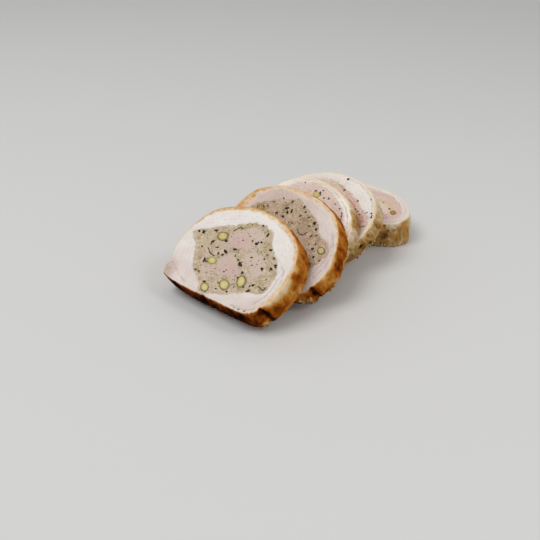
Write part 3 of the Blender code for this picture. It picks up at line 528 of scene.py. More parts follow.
fillingLook = {
    "columns": 380,
    "rows": 84,
    "rowSpacing": 0.8,      # below 1, rows stand closer together near the edge
    "plainTint": 0.2,       # away from the spots of tint
    "grooveDepth": 0.18,    # gap round kernels
    "kernelDip": 0.8,       # the filling passes under the kernels and the ham
    "hamDip": 0.7,
    # tint: u, v, reach, rosy, pale, green
    # bands: layer, width, amount, line
    "slice_1": {"crumb": 0.3, "coarse": 0.24, "fine": 0.1,
        "tint": [(3, 14, 7, 0.5, 0.5, 0), (-7, 13, 5, 0.4, 0.5, 0),
            (24, 18, 5, 0.1, 0.1, 0.8), (20, 10, 4, 0.1, 0.2, 0.7),
            (-28, 37, 7, 0.1, 0.2, 0.35), (-22, 26, 7, 0.4, 0.2, 0.2),
            (-15, 31, 4, 0.7, 0.2, 0.1), (-26, 18, 2.4, 0, 0, 1.2),
            (-15.2, 16.6, 3.4, 1.1, 0.7, 0), (-18.6, 12.8, 1.6, 0, 0, 2.6),
            (2, 30.6, 2, 0, 0.3, 1.6), (14.6, 44, 2.4, 0, 0.3, 1.4),
            (22.6, 35.4, 2.4, 0, 0, 1.6), (22, 35, 5, 0.2, 0.1, 0.5),
            (14, 46, 5, 0.1, 0.1, 0.5), (-6, 51.5, 5, 0, 0, 1.2), (8, 31, 4, 0.5, 0.3, 0.5),
            (14, 32, 8, 0.9, 0.3, 0), (16, 22, 6, 0.9, 0.2, 0.1),
            (27, 26, 5, 0.3, 0.3, 0.4), (1, 33, 4, 0.8, 0.1, 0)]},
    "slice_2": {"crumb": 0.4, "coarse": 0.3, "fine": 0.12,
        "tint": [(-20, 50, 7, 0.1, 0.2, 0.4), (-6, 52, 8, 0.3, 0.2, 0),
            (12, 51, 5, 0, 0.1, 0.6), (14, 45, 4, 0, 0, 1.2), (20, 45, 4, 0, 0.1, 0.6),
            (24, 34, 9, 0.7, 0.3, 0), (5, 46, 5, 0.2, 0.4, 0.1), (-6, 40, 7, 0.3, 0.3, 0.1),
            (30, 26, 7, 0.6, 0.4, 0)]},
    "slice_3": {"crumb": 0.14, "coarse": 0.15, "fine": 0.08,
        "tint": [(-16, 56, 9, 0.6, 0.3, 0), (0, 55, 6, 0.5, 0.4, 0),
            (-6, 52, 3, 0.1, 0.3, 0.6), (10, 54, 8, 0.6, 0.3, 0),
            (20, 48, 6, 0.9, 0.1, 0)]},
    "slice_4": {"crumb": 0.22, "coarse": 0.2, "fine": 0.1,
        "tint": [(-6, 51, 8, 0.3, 0.3, 0.1), (4, 49, 5, 0.3, 0.3, 0.1),
            (13, 48, 5, 0.95, 0.1, 0), (22, 46, 5, 0.95, 0.1, 0), (30, 41, 6, 0.9, 0.1, 0),
            (36, 34, 6, 0.9, 0.1, 0)],
        "bands": [("crumb", 0.45, 0, [(-0.6, 54.2), (2.6, 52.9), (6.8, 51.3), (9.8, 49.8)]),
            ("green", 0.9, 1.5, [(2, 54), (5.4, 52.4), (8.6, 51.4)])]},
    "slice_5": {"crumb": 0.16, "coarse": 0.15, "fine": 0.08,
        "tint": [(12, 51, 5, 0.2, 0.8, 0), (17, 48, 4, 0.3, 0.6, 0),
            (-4, 60, 10, 0.1, 0.7, 0.2), (22, 40, 5, 0.9, 0, 0)],
        "bands": [("rosy", 2.8, 1.2, [(-4, 62), (3, 63.8), (9, 64), (15, 62.6), (21, 59),
            (25.6, 54), (27.4, 49)]),
            ("green", 1.6, 2.3, [(2, 55), (6.7, 57), (10.7, 57.6), (15.7, 56.8), (19.7, 54),
            (21.4, 51.4)]),
            ("rosy", 1.6, 1, [(27.6, 45), (28, 41.5)])]},
}


def kernelShare(points, kernel):
    # 0 at the middle of a kernel, 1 at its edge
    u, v, halfLength, halfWidth, turn = kernel[:5]
    a = math.radians(turn)
    x = (points[:, 0] - u) * math.cos(a) + (points[:, 1] - v) * math.sin(a)
    y = (points[:, 1] - v) * math.cos(a) - (points[:, 0] - u) * math.sin(a)
    return np.hypot(x / halfLength, y / halfWidth)


def crumbs(points, seed):
    # 0 in the gaps between crumbs, up to 1 on them
    heights = []
    for u, v in points:
        near = noise.voronoi(Vector((u * 0.62, v * 0.62, seed)))[0]
        heights.append(min(1.0, (near[1] - near[0]) * 2.4))
    return np.array(heights)


def makeFilling(shape, seed, material, slot):
    look, own, thick = fillingLook, fillingLook[shape["name"]], shape["thick"]
    angles, pointsAt, backAt = openFan(shape, look["columns"], shape["centre"])
    hole = holeReach(shape, angles, seed) + 0.05
    hams = [smoothLoop(outline, 6) for outline in shape["ham"]]
    bands = own.get("bands", [])
    rows = []

    def addRow(reach, depth, crumb):
        points = pointsAt(reach)
        row = {"place": np.column_stack([points, depth]), "crumb": crumb,
               "fromHole": hole - reach}
        for column, name in enumerate(("rosy", "pale", "green")):
            row[name] = blendSpots(points, own["tint"], look["plainTint"], column)
            for layer, width, amount, path in bands:
                share = alongPath(points, path, width)
                row[name] = row[name] + share * (amount * (layer == name) - row[name])
        rows.append(row)

    for k in range(look["rows"] + 1):
        reach = hole * (k / look["rows"]) ** look["rowSpacing"]
        points = pointsAt(reach)
        crumb = crumbs(points, seed)
        for layer, width, _, path in bands:
            if layer == "crumb":
                crumb = crumb * (1 - alongPath(points, path, width))
        rough = relief(points, seed + 3, own["coarse"], own["fine"]) \
            + own["crumb"] * (crumb - 0.7)
        depth = thick + rough * ease(hole - reach, 0.0, 1.5)
        for loop in hams:
            depth -= look["hamDip"] * ease(-loopDistance(points, loop), 0.8, 2.0)
        for kernel in shape["kernels"]:
            off = kernelShare(points, kernel)
            depth -= look["kernelDip"] * ease(off, 1.0, 0.8)
            depth -= look["grooveDepth"] * np.exp(-((off - 1.06) / 0.12) ** 2)
        addRow(reach, depth, crumb)
    plain = np.ones(len(angles))
    back = backAt(hole)
    for share in (0.8, 0.5, 0.2, 0.0):
        addRow(hole, back + (thick - back) * share, plain)
    for share in (0.8, 0.5, 0.25, 0.0):
        addRow(hole * share, backAt(hole * share), plain)
    finishMesh(shape, bentGrid(rows), "forcemeat", material, slot, "filling")


hamLook = {
    "columns": 170,
    "rows": 22,
    "rowSpacing": 0.8,
    "plainBlush": 0.3,
    "reachUnder": 0.5,      # goes on a little under the filling's crumbs
    "outlineNoise": 0.7,
    "outlineWaves": [(2.5, 0.6, 0), (7, 0.5, 2)],
    "coarse": 0.14,
    "fine": 0.06,
    "proud": 0.05,          # stands out of the filling, front and back
    # blush: u, v, reach, how deep the pink is
    "slice_1": [(-6, 37, 5, 0.9), (0, 40, 5, 0.7), (4, 48, 6, 0.1), (-8, 43, 4, 0.5),
        (4, 20.5, 4, 1), (-4, 18, 5, 0.7), (-11, 16, 4, 0.5), (-3, 26, 5, 0.4),
        (14, 32, 8, 0.15)],
    "slice_2": [(13, 42, 6, 0.3)],
    "slice_4": [(16, 44, 6, 0.9), (24, 42, 5, 0.7), (33, 37, 5, 0.9), (33, 28, 6, 0.5),
        (20, 30, 10, 0.6)],
    "slice_5": [(22, 41, 6, 0.9), (14, 38, 6, 0.7), (8, 32, 6, 0.6)],
}


def makeHam(shape, number, seed, material):
    look, proud = hamLook, hamLook["proud"]
    outline = shape["ham"][number - 1]
    centre = smoothLoop(outline).mean(0)
    angles, pointsAt, backAt = openFan(shape, look["columns"], centre)
    edge = reachOf(outline, centre, angles) + look["reachUnder"] \
        + look["outlineNoise"] * ripple(angles, seed, look["outlineWaves"])
    rows = []

    def addRow(reach, depth):
        points = pointsAt(reach)
        rows.append({"place": np.column_stack([points, depth]), "fromEdge": edge - reach,
                     "blush": blendSpots(points, look[shape["name"]], look["plainBlush"])})

    for k in range(look["rows"] + 1):
        reach = edge * (k / look["rows"]) ** look["rowSpacing"]
        bumps = relief(pointsAt(reach), seed + 3, look["coarse"], look["fine"])
        addRow(reach, shape["thick"] + proud + bumps - 0.2 * ease(edge - reach, 0.8, 0.0))
    back = backAt(edge) - proud
    for share in (0.5, 0.0):
        addRow(edge, back + (shape["thick"] - back) * share)
    for share in (0.6, 0.0):
        addRow(edge * share, backAt(edge * share) - proud)
    finishMesh(shape, bentGrid(rows), f"hamPiece{number}", material, "ham", f"ham_{number}")


kernelLook = {
    "dome": 0.22,       # cut face, almost flat
    "wobble": 0.1,      # uneven outline
    "bumps": 0.06,
    "cleft": 0.05,      # line between the kernel's halves
    "flesh": (222, 210, 154), "deepFlesh": (204, 190, 122), "outerFlesh": (184, 170, 96),
    "brown": (186, 148, 74), "deepBrown": (112, 82, 30),
    "rind": (122, 104, 50), "brownRind": (136, 104, 54),
}


def flatTurn(degrees):
    return Matrix.Rotation(math.radians(degrees), 3, "Z")


def makeKernel(shape, number, material):
    # kernel cut by the knife: almost flat on top, round below
    look = kernelLook
    u, v, halfLength, halfWidth, turn, brown, dark = shape["kernels"][number - 1]
    key = Vector((u, v, 0.0))
    bm = bmesh.new()
    fromMiddle, howBrown, rind = [bm.verts.layers.float.new(name)
                                  for name in ("fromMiddle", "howBrown", "rind")]
    bmesh.ops.create_icosphere(bm, subdivisions=5, radius=1.0)
    for vert in bm.verts:
        far = math.hypot(vert.co.x, vert.co.y)
        vert[fromMiddle] = far if vert.co.z > -0.05 else 1.0
        vert[howBrown], vert[rind] = brown, dark
        wobble = 1.0 + look["wobble"] * noise.noise(vert.co * 1.3 + key)
        if vert.co.z > 0.0:
            bumps = look["bumps"] * noise.noise(vert.co * 3.0 + key)
            vert.co.z = look["dome"] * (1.0 - far ** 5) + bumps * (1.0 - far) \
                - look["cleft"] * math.exp(-(vert.co.y / 0.07) ** 2)
        else:
            vert.co.z *= halfWidth
        vert.co.x *= halfLength * wobble
        vert.co.y *= halfWidth * wobble
    bmesh.ops.rotate(bm, verts=bm.verts, cent=(0, 0, 0), matrix=flatTurn(turn))
    bmesh.ops.translate(bm, verts=bm.verts, vec=(u, v, shape["thick"]))
    finishMesh(shape, bm, f"pistachioHalf{number}", material, "pistachio",
               f"pistachio_{number}")


# Peppercorn on the cut faces: u, v, half length, half width, turn; threads are thin
# dark lines. brown is the same in softer brown and olive.
pepperLook = {
    "size": 0.85,               # share of the sizes below
    "proud": 0.08,
    "most": 0.4,                # half the height of a bit is no more than this
    "clinging": (0, 1, 1, 2),   # smaller crumbs at the edge of a bit
    "clingingSize": (0.3, 0.5),
    "threadStep": 0.45,
    "threadLength": (0.3, 0.48),
    "threadWidth": 0.26,
    "dustSize": (0.16, 0.4),
    "dustShare": {"black": 5, "brown": 1},   # one in so many
    "blackTones": ((34, 23, 16), (74, 54, 40)),
    "brownTones": ((92, 68, 40), (146, 120, 70)),
    "slice_1": {"dust": 170,
        "black": [(-35.6, 35.3, 1.1, 0.8, 150), (-32.3, 35.9, 1.3, 0.8, 60),
            (-24.8, 39.9, 1.3, 0.8, 20), (-21.8, 32.8, 1.7, 0.7, 45),
            (-13.6, 36.4, 1.1, 0.9, 60), (-26.7, 27.1, 0.8, 0.6, 0),
            (-12.9, 27.6, 1, 0.8, 30), (-9.9, 27.5, 0.9, 0.7, 80),
            (-9.2, 30.4, 2.1, 1, 160), (-4.4, 33.9, 1.6, 0.7, 20),
            (-18.6, 20, 1.5, 0.8, 80), (4.9, 27, 1.6, 1.2, 120), (6.6, 26.6, 1, 0.8, 0),
            (10.2, 22.9, 1.1, 0.8, 40), (20.7, 15.1, 1.3, 0.9, 60),
            (20.1, 30, 1.1, 0.9, 10), (9.8, 49.6, 1.3, 0.9, 80), (6.6, 42.2, 1.5, 1.1, 20),
            (9.1, 44.2, 0.9, 0.7, 40), (17.9, 42.2, 1, 0.8, 30), (26.6, 35, 1.2, 0.8, 20),
            (25.3, 32.2, 1, 0.7, 60), (3.2, 54.2, 0.9, 0.6, 170), (21.3, 19.1, 1, 0.8, 60),
            (1, 7.8, 0.8, 0.6, 20), (-9.4, 8.6, 1.5, 0.6, 20), (8.6, 9.2, 0.9, 0.6, 20),
            (19.8, 18, 0.7, 0.5, 100), (16.6, 15.6, 0.7, 0.5, 30),
            (9.4, 19.2, 0.8, 0.6, 20)],
        "brown": [(-1, 30.3, 0.8, 0.6, 0), (-17.7, 12.6, 0.9, 0.7, 0),
            (-20.4, 12.6, 1, 0.7, 40), (2.4, 28.9, 0.8, 0.6, 0), (10.9, 13.4, 0.7, 0.5, 60),
            (0.4, 11.6, 1.4, 0.5, 20), (17.5, 38.6, 0.7, 0.5, 0), (9.4, 33.5, 1.2, 0.6, 10),
            (17.9, 35.6, 0.9, 0.7, 0), (15.2, 31.2, 0.5, 0.4, 0),
            (-1.3, 18.9, 0.9, 0.6, 10), (-11.8, 13.9, 0.5, 0.4, 0),
            (-16.2, 30.6, 1, 0.6, 30), (-8.6, 47.4, 1.1, 0.6, 30), (2.9, 43, 0.9, 0.7, 0),
            (-0.5, 45, 0.5, 0.4, 0), (-3, 41, 0.5, 0.4, 0), (23, 38.4, 1, 0.7, 60),
            (12.8, 29.4, 0.6, 0.5, 0), (19.4, 2.9, 0.7, 0.35, 10),
            (22.3, 3.2, 0.6, 0.4, 30), (26.4, 3.7, 0.7, 0.4, 20), (29, 3.4, 0.6, 0.35, 0),
            (31.2, 4.6, 0.8, 0.4, 30), (33, 5.2, 0.6, 0.4, 50)],
        "threads": [[(-21.4, 27.8), (-19.3, 26), (-16.8, 25.2), (-13.9, 25.1)],
            [(24.6, 19.9), (27.2, 19.3), (29.2, 18.8), (29.5, 21.4)],
            [(-13, 44.3), (-11.2, 46.7), (-9.2, 48.5)]]},
    "slice_2": {"dust": 150,
        "black": [(-10.2, 45.6, 1.3, 0.9, 60), (-5.1, 50.6, 1.3, 1, 30),
            (-0.8, 49.9, 1.3, 0.8, 100), (-3.3, 48.3, 1.1, 0.8, 10),
            (-4.6, 44.8, 1.1, 0.8, 150), (6, 55.3, 1, 0.8, 80), (8.6, 52.6, 0.9, 0.6, 20),
            (18.4, 48.1, 1.3, 1.1, 60), (21.5, 44.9, 1, 0.8, 90),
            (-11.2, 55.9, 0.7, 0.5, 0), (26.7, 33, 1, 0.8, 60), (30, 28.8, 0.8, 0.6, 30),
            (30.3, 23.9, 0.7, 0.6, 0), (-25.6, 44.6, 1, 0.4, 80),
            (-21.4, 46.4, 0.8, 0.4, 150)],
        "brown": [(-4.1, 56.4, 1.1, 0.7, 10), (-19.3, 47.8, 0.9, 0.6, 40),
            (34.7, 28, 1.1, 0.7, 60), (22.6, 34.7, 0.7, 0.5, 0), (26.6, 36.2, 0.7, 0.5, 0),
            (-16.2, 51.6, 1.2, 0.5, 10), (6.8, 49.3, 1, 0.6, 20), (16, 45, 0.9, 0.6, 0),
            (12.6, 50.2, 1, 0.6, 40), (24, 41.2, 0.8, 0.6, 0), (4, 43, 0.8, 0.5, 0),
            (20.8, 39.6, 0.8, 0.6, 0)],
        "threads": [[(10.2, 40.6), (11.6, 39), (13.4, 38.2), (15.2, 38.4), (16.6, 39.8),
            (17.4, 41.4)]]},
    "slice_3": {"dust": 50,
        "black": [(-0.1, 55.9, 1.4, 0.8, 110), (22.4, 48.4, 0.8, 0.5, 118),
            (23.3, 46.4, 1, 0.5, 118)],
        "brown": [(19.1, 50.7, 0.8, 0.6, 40), (14.4, 52.5, 0.8, 0.5, 10),
            (24, 44.6, 0.6, 0.5, 100), (-4, 56.3, 0.9, 0.6, 20), (4.8, 53.7, 0.8, 0.6, 0),
            (8.2, 54.3, 0.9, 0.6, 50), (-14.8, 58.9, 0.8, 0.5, 0), (1, 58, 0.6, 0.5, 0)],
        "threads": []},
    "slice_4": {"dust": 40,
        "black": [(7.5, 58.2, 1.1, 1, 0), (22.4, 46.7, 0.7, 0.5, 60),
            (28.6, 39, 0.7, 0.5, 0), (36, 42, 1, 0.8, 170), (37.2, 39.6, 1.3, 0.8, 105)],
        "brown": [(23.9, 41, 1.1, 0.6, 10), (26.2, 40.4, 0.9, 0.5, 40),
            (35.7, 23.5, 0.7, 0.5, 0), (30.5, 50.8, 0.6, 0.3, 110),
            (9.4, 50.6, 1, 0.6, 40)],
        "threads": [[(33, 29.9), (33.8, 31.2), (35, 32.4), (36.2, 33.2)],
            [(32.2, 41), (33.4, 42.3), (34.9, 42.3), (36.1, 41.2), (36.5, 39.2)]]},
    "slice_5": {"dust": 20,
        "black": [(19.4, 51.2, 0.9, 0.8, 0)],
        "brown": [(30.2, 40.6, 0.8, 0.5, 30), (11, 56, 0.6, 0.4, 0),
            (24, 36.8, 0.8, 0.5, 0)],
        "threads": []},
}


def drawKey(rng):
    # place in the noise that gives a bit its own shape
    return Vector((rng.uniform(0, 50), rng.uniform(0, 50), 0.0))


def addBit(bm, spot, size, turn, key, detail=2, uneven=0.45, pace=1.2, taper=0.0):
    made = bmesh.ops.create_icosphere(bm, subdivisions=detail, radius=1.0)["verts"]
    for vert in made:
        vert.co *= 1.0 + uneven * noise.noise(vert.co * pace + key)
        vert.co.y *= 1.0 - taper * vert.co.x
    bmesh.ops.scale(bm, verts=made, vec=size)
    bmesh.ops.rotate(bm, verts=made, cent=(0, 0, 0), matrix=turn)
    bmesh.ops.translate(bm, verts=made, vec=spot)
    return made


def makePepper(shape, seed, materials):
    look, bits, own = pepperLook, pepperLook[shape["name"]], fillingLook[shape["name"]]
    rng = random.Random(100 + seed)

    def addGrain(u, v, halfLength, halfWidth, turn, detail=2):
        # one uneven bit, mostly sunk in the cut face
        bump = relief([(u, v)], seed + 3, own["coarse"], own["fine"])[0]
        size = (halfLength, halfWidth, min(halfWidth * 0.6, look["most"]))
        addBit(bm, (u, v, shape["thick"] + bump + look["proud"]), size, flatTurn(turn),
               drawKey(rng), detail)

    for kind, material in materials.items():
        bm = bmesh.new()
        for u, v, halfLength, halfWidth, turn in bits[kind]:
            addGrain(u, v, halfLength * look["size"], halfWidth * look["size"], turn)
            for _ in range(rng.choice(look["clinging"])):
                angle, share = rng.uniform(0, fullTurn), rng.uniform(*look["clingingSize"])
                addGrain(u + halfLength * math.cos(angle), v + halfLength * math.sin(angle),
                         halfLength * share, halfWidth * share, rng.uniform(0, 180))
        for path in bits["threads"] if kind == "black" else []:
            for (u0, v0), (u1, v1) in zip(path, path[1:]):
                du, dv = u1 - u0, v1 - v0
                count = max(2, round(math.hypot(du, dv) / look["threadStep"]))
                for k in range(count):
                    addGrain(u0 + du * k / count, v0 + dv * k / count,
                             rng.uniform(*look["threadLength"]), look["threadWidth"],
                             math.degrees(math.atan2(dv, du)))
        for _ in range(bits["dust"] // look["dustShare"][kind]):
            angle = rng.uniform(-math.pi, math.pi)
            edge = float(holeReach(shape, np.array([angle]), seed)[0]) - 0.8
            far = edge * math.sqrt(rng.random())
            size = rng.uniform(*look["dustSize"])
            addGrain(shape["centre"][0] + far * math.cos(angle),
                     shape["centre"][1] + far * math.sin(angle), size,
                     size * rng.uniform(0.5, 1.0), rng.uniform(0, 180), 1)
        finishMesh(shape, bm, kind + "Pepper", material, "forcemeat")


fringeLook = {
    "length": (0.5, 1.1),
    "width": (0.35, 0.7),
    "thick": (0.25, 0.4),
    "taper": 0.2,
    "uneven": 0.5,
    "out": (0.3, 0.9),    # which way a shred points
    "down": (0.5, 1.0),
    "aside": (-0.3, 0.3),
    "spreadUp": 5.0,      # a few cling higher on the skin, up to this
    "tones": [(0.0, 96, 62, 24), (0.35, 150, 112, 56), (0.7, 190, 156, 98),
              (1.0, 214, 192, 144)],
}


def makeFringe(shape, seed, material):
    # ragged shreds of skin and fat along its lower edge
    look = fringeLook
    rng = random.Random(200 + seed)
    centre = Vector((*shape["centre"], 0.0))
    bm = bmesh.new()
    pale = bm.verts.layers.float.new("paleness")
    for u0, v0, u1, v1, count, lift in shape["fringe"]:
        for _ in range(count):
            share = rng.random()
            u, v = u0 + (u1 - u0) * share, v0 + (v1 - v0) * share
            out = (Vector((u, v, 0.0)) - centre).normalized()
            down = Vector((0.0, -0.2, -1.0))
            way = out * rng.uniform(*look["out"]) + down * rng.uniform(*look["down"])
            way += Vector((rng.uniform(*look["aside"]), rng.uniform(*look["aside"]), 0.0))
            key = drawKey(rng)
            size = [rng.uniform(*look[side]) for side in ("length", "width", "thick")]
            high = lift + rng.uniform(0.0, 1.0) ** 2 * look["spreadUp"]
            made = addBit(bm, (u, v, high - shape["taper"] * v), size,
                          way.to_track_quat("X", "Z").to_matrix(), key,
                          uneven=look["uneven"], pace=1.1, taper=look["taper"])
            value = rng.random()
            for vert in made:
                vert[pale] = value
    finishMesh(shape, bm, "skinFringe", material, "breast_meat")


making = {}   # the material being made, with its tree and its shader


def tone(colour):
    # colour given as 0 to 255 on screen; one that comes from a node stays as it is
    if isinstance(colour, bpy.types.NodeSocket):
        return colour
    parts = [part / 255.0 for part in colour]
    return (*(part / 12.92 if part <= 0.04045 else ((part + 0.055) / 1.055) ** 2.4
              for part in parts), 1.0)


def setInputs(node, inputs):
    for key, value in inputs.items():
        if isinstance(value, bpy.types.NodeSocket):
            making["tree"].links.new(value, node.inputs[key])
        else:
            node.inputs[key].default_value = value


def addNode(kind, inputs, **settings):
    node = making["tree"].nodes.new(kind)
    for key, value in settings.items():
        setattr(node, key, value)
    setInputs(node, inputs)
    return node


def attribute(name, output="Fac"):
    return addNode("ShaderNodeAttribute", {}, attribute_name=name).outputs[output]


def cutPlace(stretch=(1.0, 1.0, 1.0), turn=0.0):
    # the slice's own millimetres, so that a pattern runs through the food
    return addNode("ShaderNodeMapping", {
        "Vector": attribute("cutPlace", "Vector"), "Scale": stretch,
        "Rotation": (0.0, 0.0, turn)}).outputs[0]


def noiseAt(place, scale, detail=3.0, roughness=0.55, distortion=0.0):
    # a pattern in the looks gives these four, or the first of them
    return addNode("ShaderNodeTexNoise", {
        "Vector": place, "Scale": scale, "Detail": detail, "Roughness": roughness,
        "Distortion": distortion}).outputs["Fac"]


def combine(operation, a, b=0.0, clamp=False):
    return addNode("ShaderNodeMath", {0: a, 1: b}, operation=operation,
                   use_clamp=clamp).outputs[0]


def add(a, b, clamp=False):
    return combine("ADD", a, b, clamp)


def times(a, b):
    return combine("MULTIPLY", a, b)


def around(value, amount):
    # a 0 to 1 pattern turned into plus or minus half the amount
    return times(combine("SUBTRACT", value, 0.5), amount)


def spread(value, low, high, newLow=0.0, newHigh=1.0):
    return addNode("ShaderNodeMapRange", {
        "Value": value, "From Min": low, "From Max": high, "To Min": newLow,
        "To Max": newHigh}, interpolation_type="SMOOTHSTEP").outputs[0]


def blend(share, a, b):
    return addNode("ShaderNodeMix", {0: share, 6: tone(a), 7: tone(b)},
                   data_type="RGBA").outputs[2]


def lay(colour, shade, pattern, low, high, most=1.0):
    # a shade laid over a colour, from none at the pattern's low to most at its high
    return blend(spread(pattern, low, high, 0.0, most), colour, shade)


def ramp(value, stops):
    made = addNode("ShaderNodeValToRGB", {"Fac": value})
    cells = made.color_ramp.elements
    while len(cells) < len(stops):
        cells.new(0.5)
    for cell, (position, *colour) in zip(cells, stops):
        cell.position = position
        cell.color = tone(colour)
    return made.outputs["Color"]


def newMaterial(name, subsurface, scale, specular=0.35):
    material = bpy.data.materials.new(name)
    material.use_nodes = True
    tree = material.node_tree
    making.update(material=material, tree=tree, shader=tree.nodes["Principled BSDF"])
    setInputs(making["shader"], {
        "Subsurface Weight": subsurface, "Subsurface Radius": (1.0, 0.45, 0.3),
        "Subsurface Scale": scale * mm, "Specular IOR Level": specular})


def finishMaterial(colour, roughness, *bumps):
    # bumps: pattern, strength, height in mm, stretch down the slice
    normal = None
    for pattern, strength, height, *stretch in bumps:
        if isinstance(pattern, tuple):
            pattern = noiseAt(cutPlace((1.0, 1.0, *(stretch or [1.0]))), *pattern)
        inputs = {"Height": pattern, "Strength": strength, "Distance": height * mm}
        if normal:
            inputs["Normal"] = normal
        normal = addNode("ShaderNodeBump", inputs).outputs[0]
    setInputs(making["shader"], {"Base Color": colour, "Roughness": roughness,
                                 "Normal": normal})
    return making["material"]


# grain of the forcemeat. clumps: channel, shade, share; specks: shade, where the pattern
# starts and ends, share, then the pattern
grainLook = {
    "clumpSize": 0.42, "clumpEdge": (0.8, 3), "clumpWander": (2.4, 2.4, 2.4),
    "clumps": [("Red", "dark", 0.55), ("Green", "pale", 0.7), ("Blue", "rosy", 0.6)],
    "specks": [("dark", 0.52, 0.68, 0.6, 0.5, 5, 0.7, 0.5),
               ("pale", 0.55, 0.7, 0.6, 0.75, 3, 0.6, 0.3),
               ("speck", 0.64, 0.74, 0.6, 1.2, 3, 0.65, 0),
               ("olive", 0.6, 0.68, 0.75, 0.62, 3, 0.6, 0.2)],
}


def withGrain(place, colour, look):
    # bits of minced meat with ragged outlines, then finer grain, laid over a colour
    scale, detail = grainLook["clumpEdge"]
    ragged = addNode("ShaderNodeTexNoise", {"Vector": place, "Scale": scale,
                                            "Detail": detail}).outputs["Color"]
    moved = addNode("ShaderNodeVectorMath", {0: ragged, 1: grainLook["clumpWander"],
                                             2: place}, operation="MULTIPLY_ADD")
    cells = addNode("ShaderNodeTexVoronoi", {"Vector": moved.outputs[0],
                                             "Scale": grainLook["clumpSize"]})
    clumps = addNode("ShaderNodeSeparateColor", {"Color": cells.outputs["Color"]}).outputs
    for channel, shade, share in grainLook["clumps"]:
        colour = lay(colour, look[shade], clumps[channel], 0.6, 0.9, share * look["clumps"])
    for shade, low, high, share, *grain in grainLook["specks"]:
        colour = lay(colour, look[shade], noiseAt(place, *grain), low, high, share)
    return colour


seamLook = {
    # how far the line between meat and filling wanders: pattern, mm
    "wander": [((0.35, 4, 0.65), 6), ((1.1, 2), 2)],
    "fade": 0.7,
    "most": 0.95,
}


def acrossSeam(place, colour, beyond, side):
    # beyond the line the other side's colour shows
    look = seamLook
    wander = add(*[around(noiseAt(place, *pattern), reach)
                   for pattern, reach in look["wander"]])
    seam = combine(side, attribute("fromHole"), wander)
    return lay(colour, beyond, seam, look["fade"], -look["fade"], look["most"])


meatLook = {
    "white": (235, 230, 225), "pink": (214, 194, 186), "line": (180, 162, 156),
    "cream": (234, 219, 193), "gold": (202, 148, 80), "flush": (184, 164, 148),
    "spot": (124, 86, 34), "toasted": (190, 132, 58),
    "roughness": 0.42, "skinRoughness": 0.34,
    "softness": 0.22, "skinSoftness": 0.06,     # light that passes under the surface
    "wisps": (0.45, 4, 0.6, 0.6), "broad": (0.1, 2), "grain": (1.6, 3, 0.6),
    "layerPace": 2.6, "layerWarp": (0.09,), "layerWarpReach": 14, "layerPatches": (0.13, 2),
    "fatPatches": (0.3, 4, 0.6), "mottle": (0.2, 4, 0.55, 0.4), "streaks": (0.8, 3, 0.6),
    "toastPatches": (0.17,), "spots": (0.42, 2),
    # pattern, strength, height, stretch down the slice
    "fibres": ((1.1, 5, 0.6, 0.5), 0.5, 0.4, 0.3), "pores": ((3.2, 3, 0.6), 0.35, 0.2, 0.4),
    # how far mottle and streaks change the roasting
    "roastedUneven": (0.9, 0.25), "goldenUneven": (1.1, 0.4),
    # skin tones: how roasted, colour; the darkest stops also give painted shade under the
    # front slice
    "roasted": [(0, 236, 212, 174), (0.2, 220, 180, 120), (0.38, 202, 144, 70),
                (0.54, 182, 108, 34), (0.7, 144, 72, 16), (0.85, 84, 36, 12),
                (1, 28, 10, 6)],
    "golden": [(0, 236, 224, 206), (0.25, 218, 194, 154), (0.45, 190, 156, 102),
               (0.62, 148, 112, 60), (0.8, 98, 68, 32), (1, 42, 26, 12)],
}


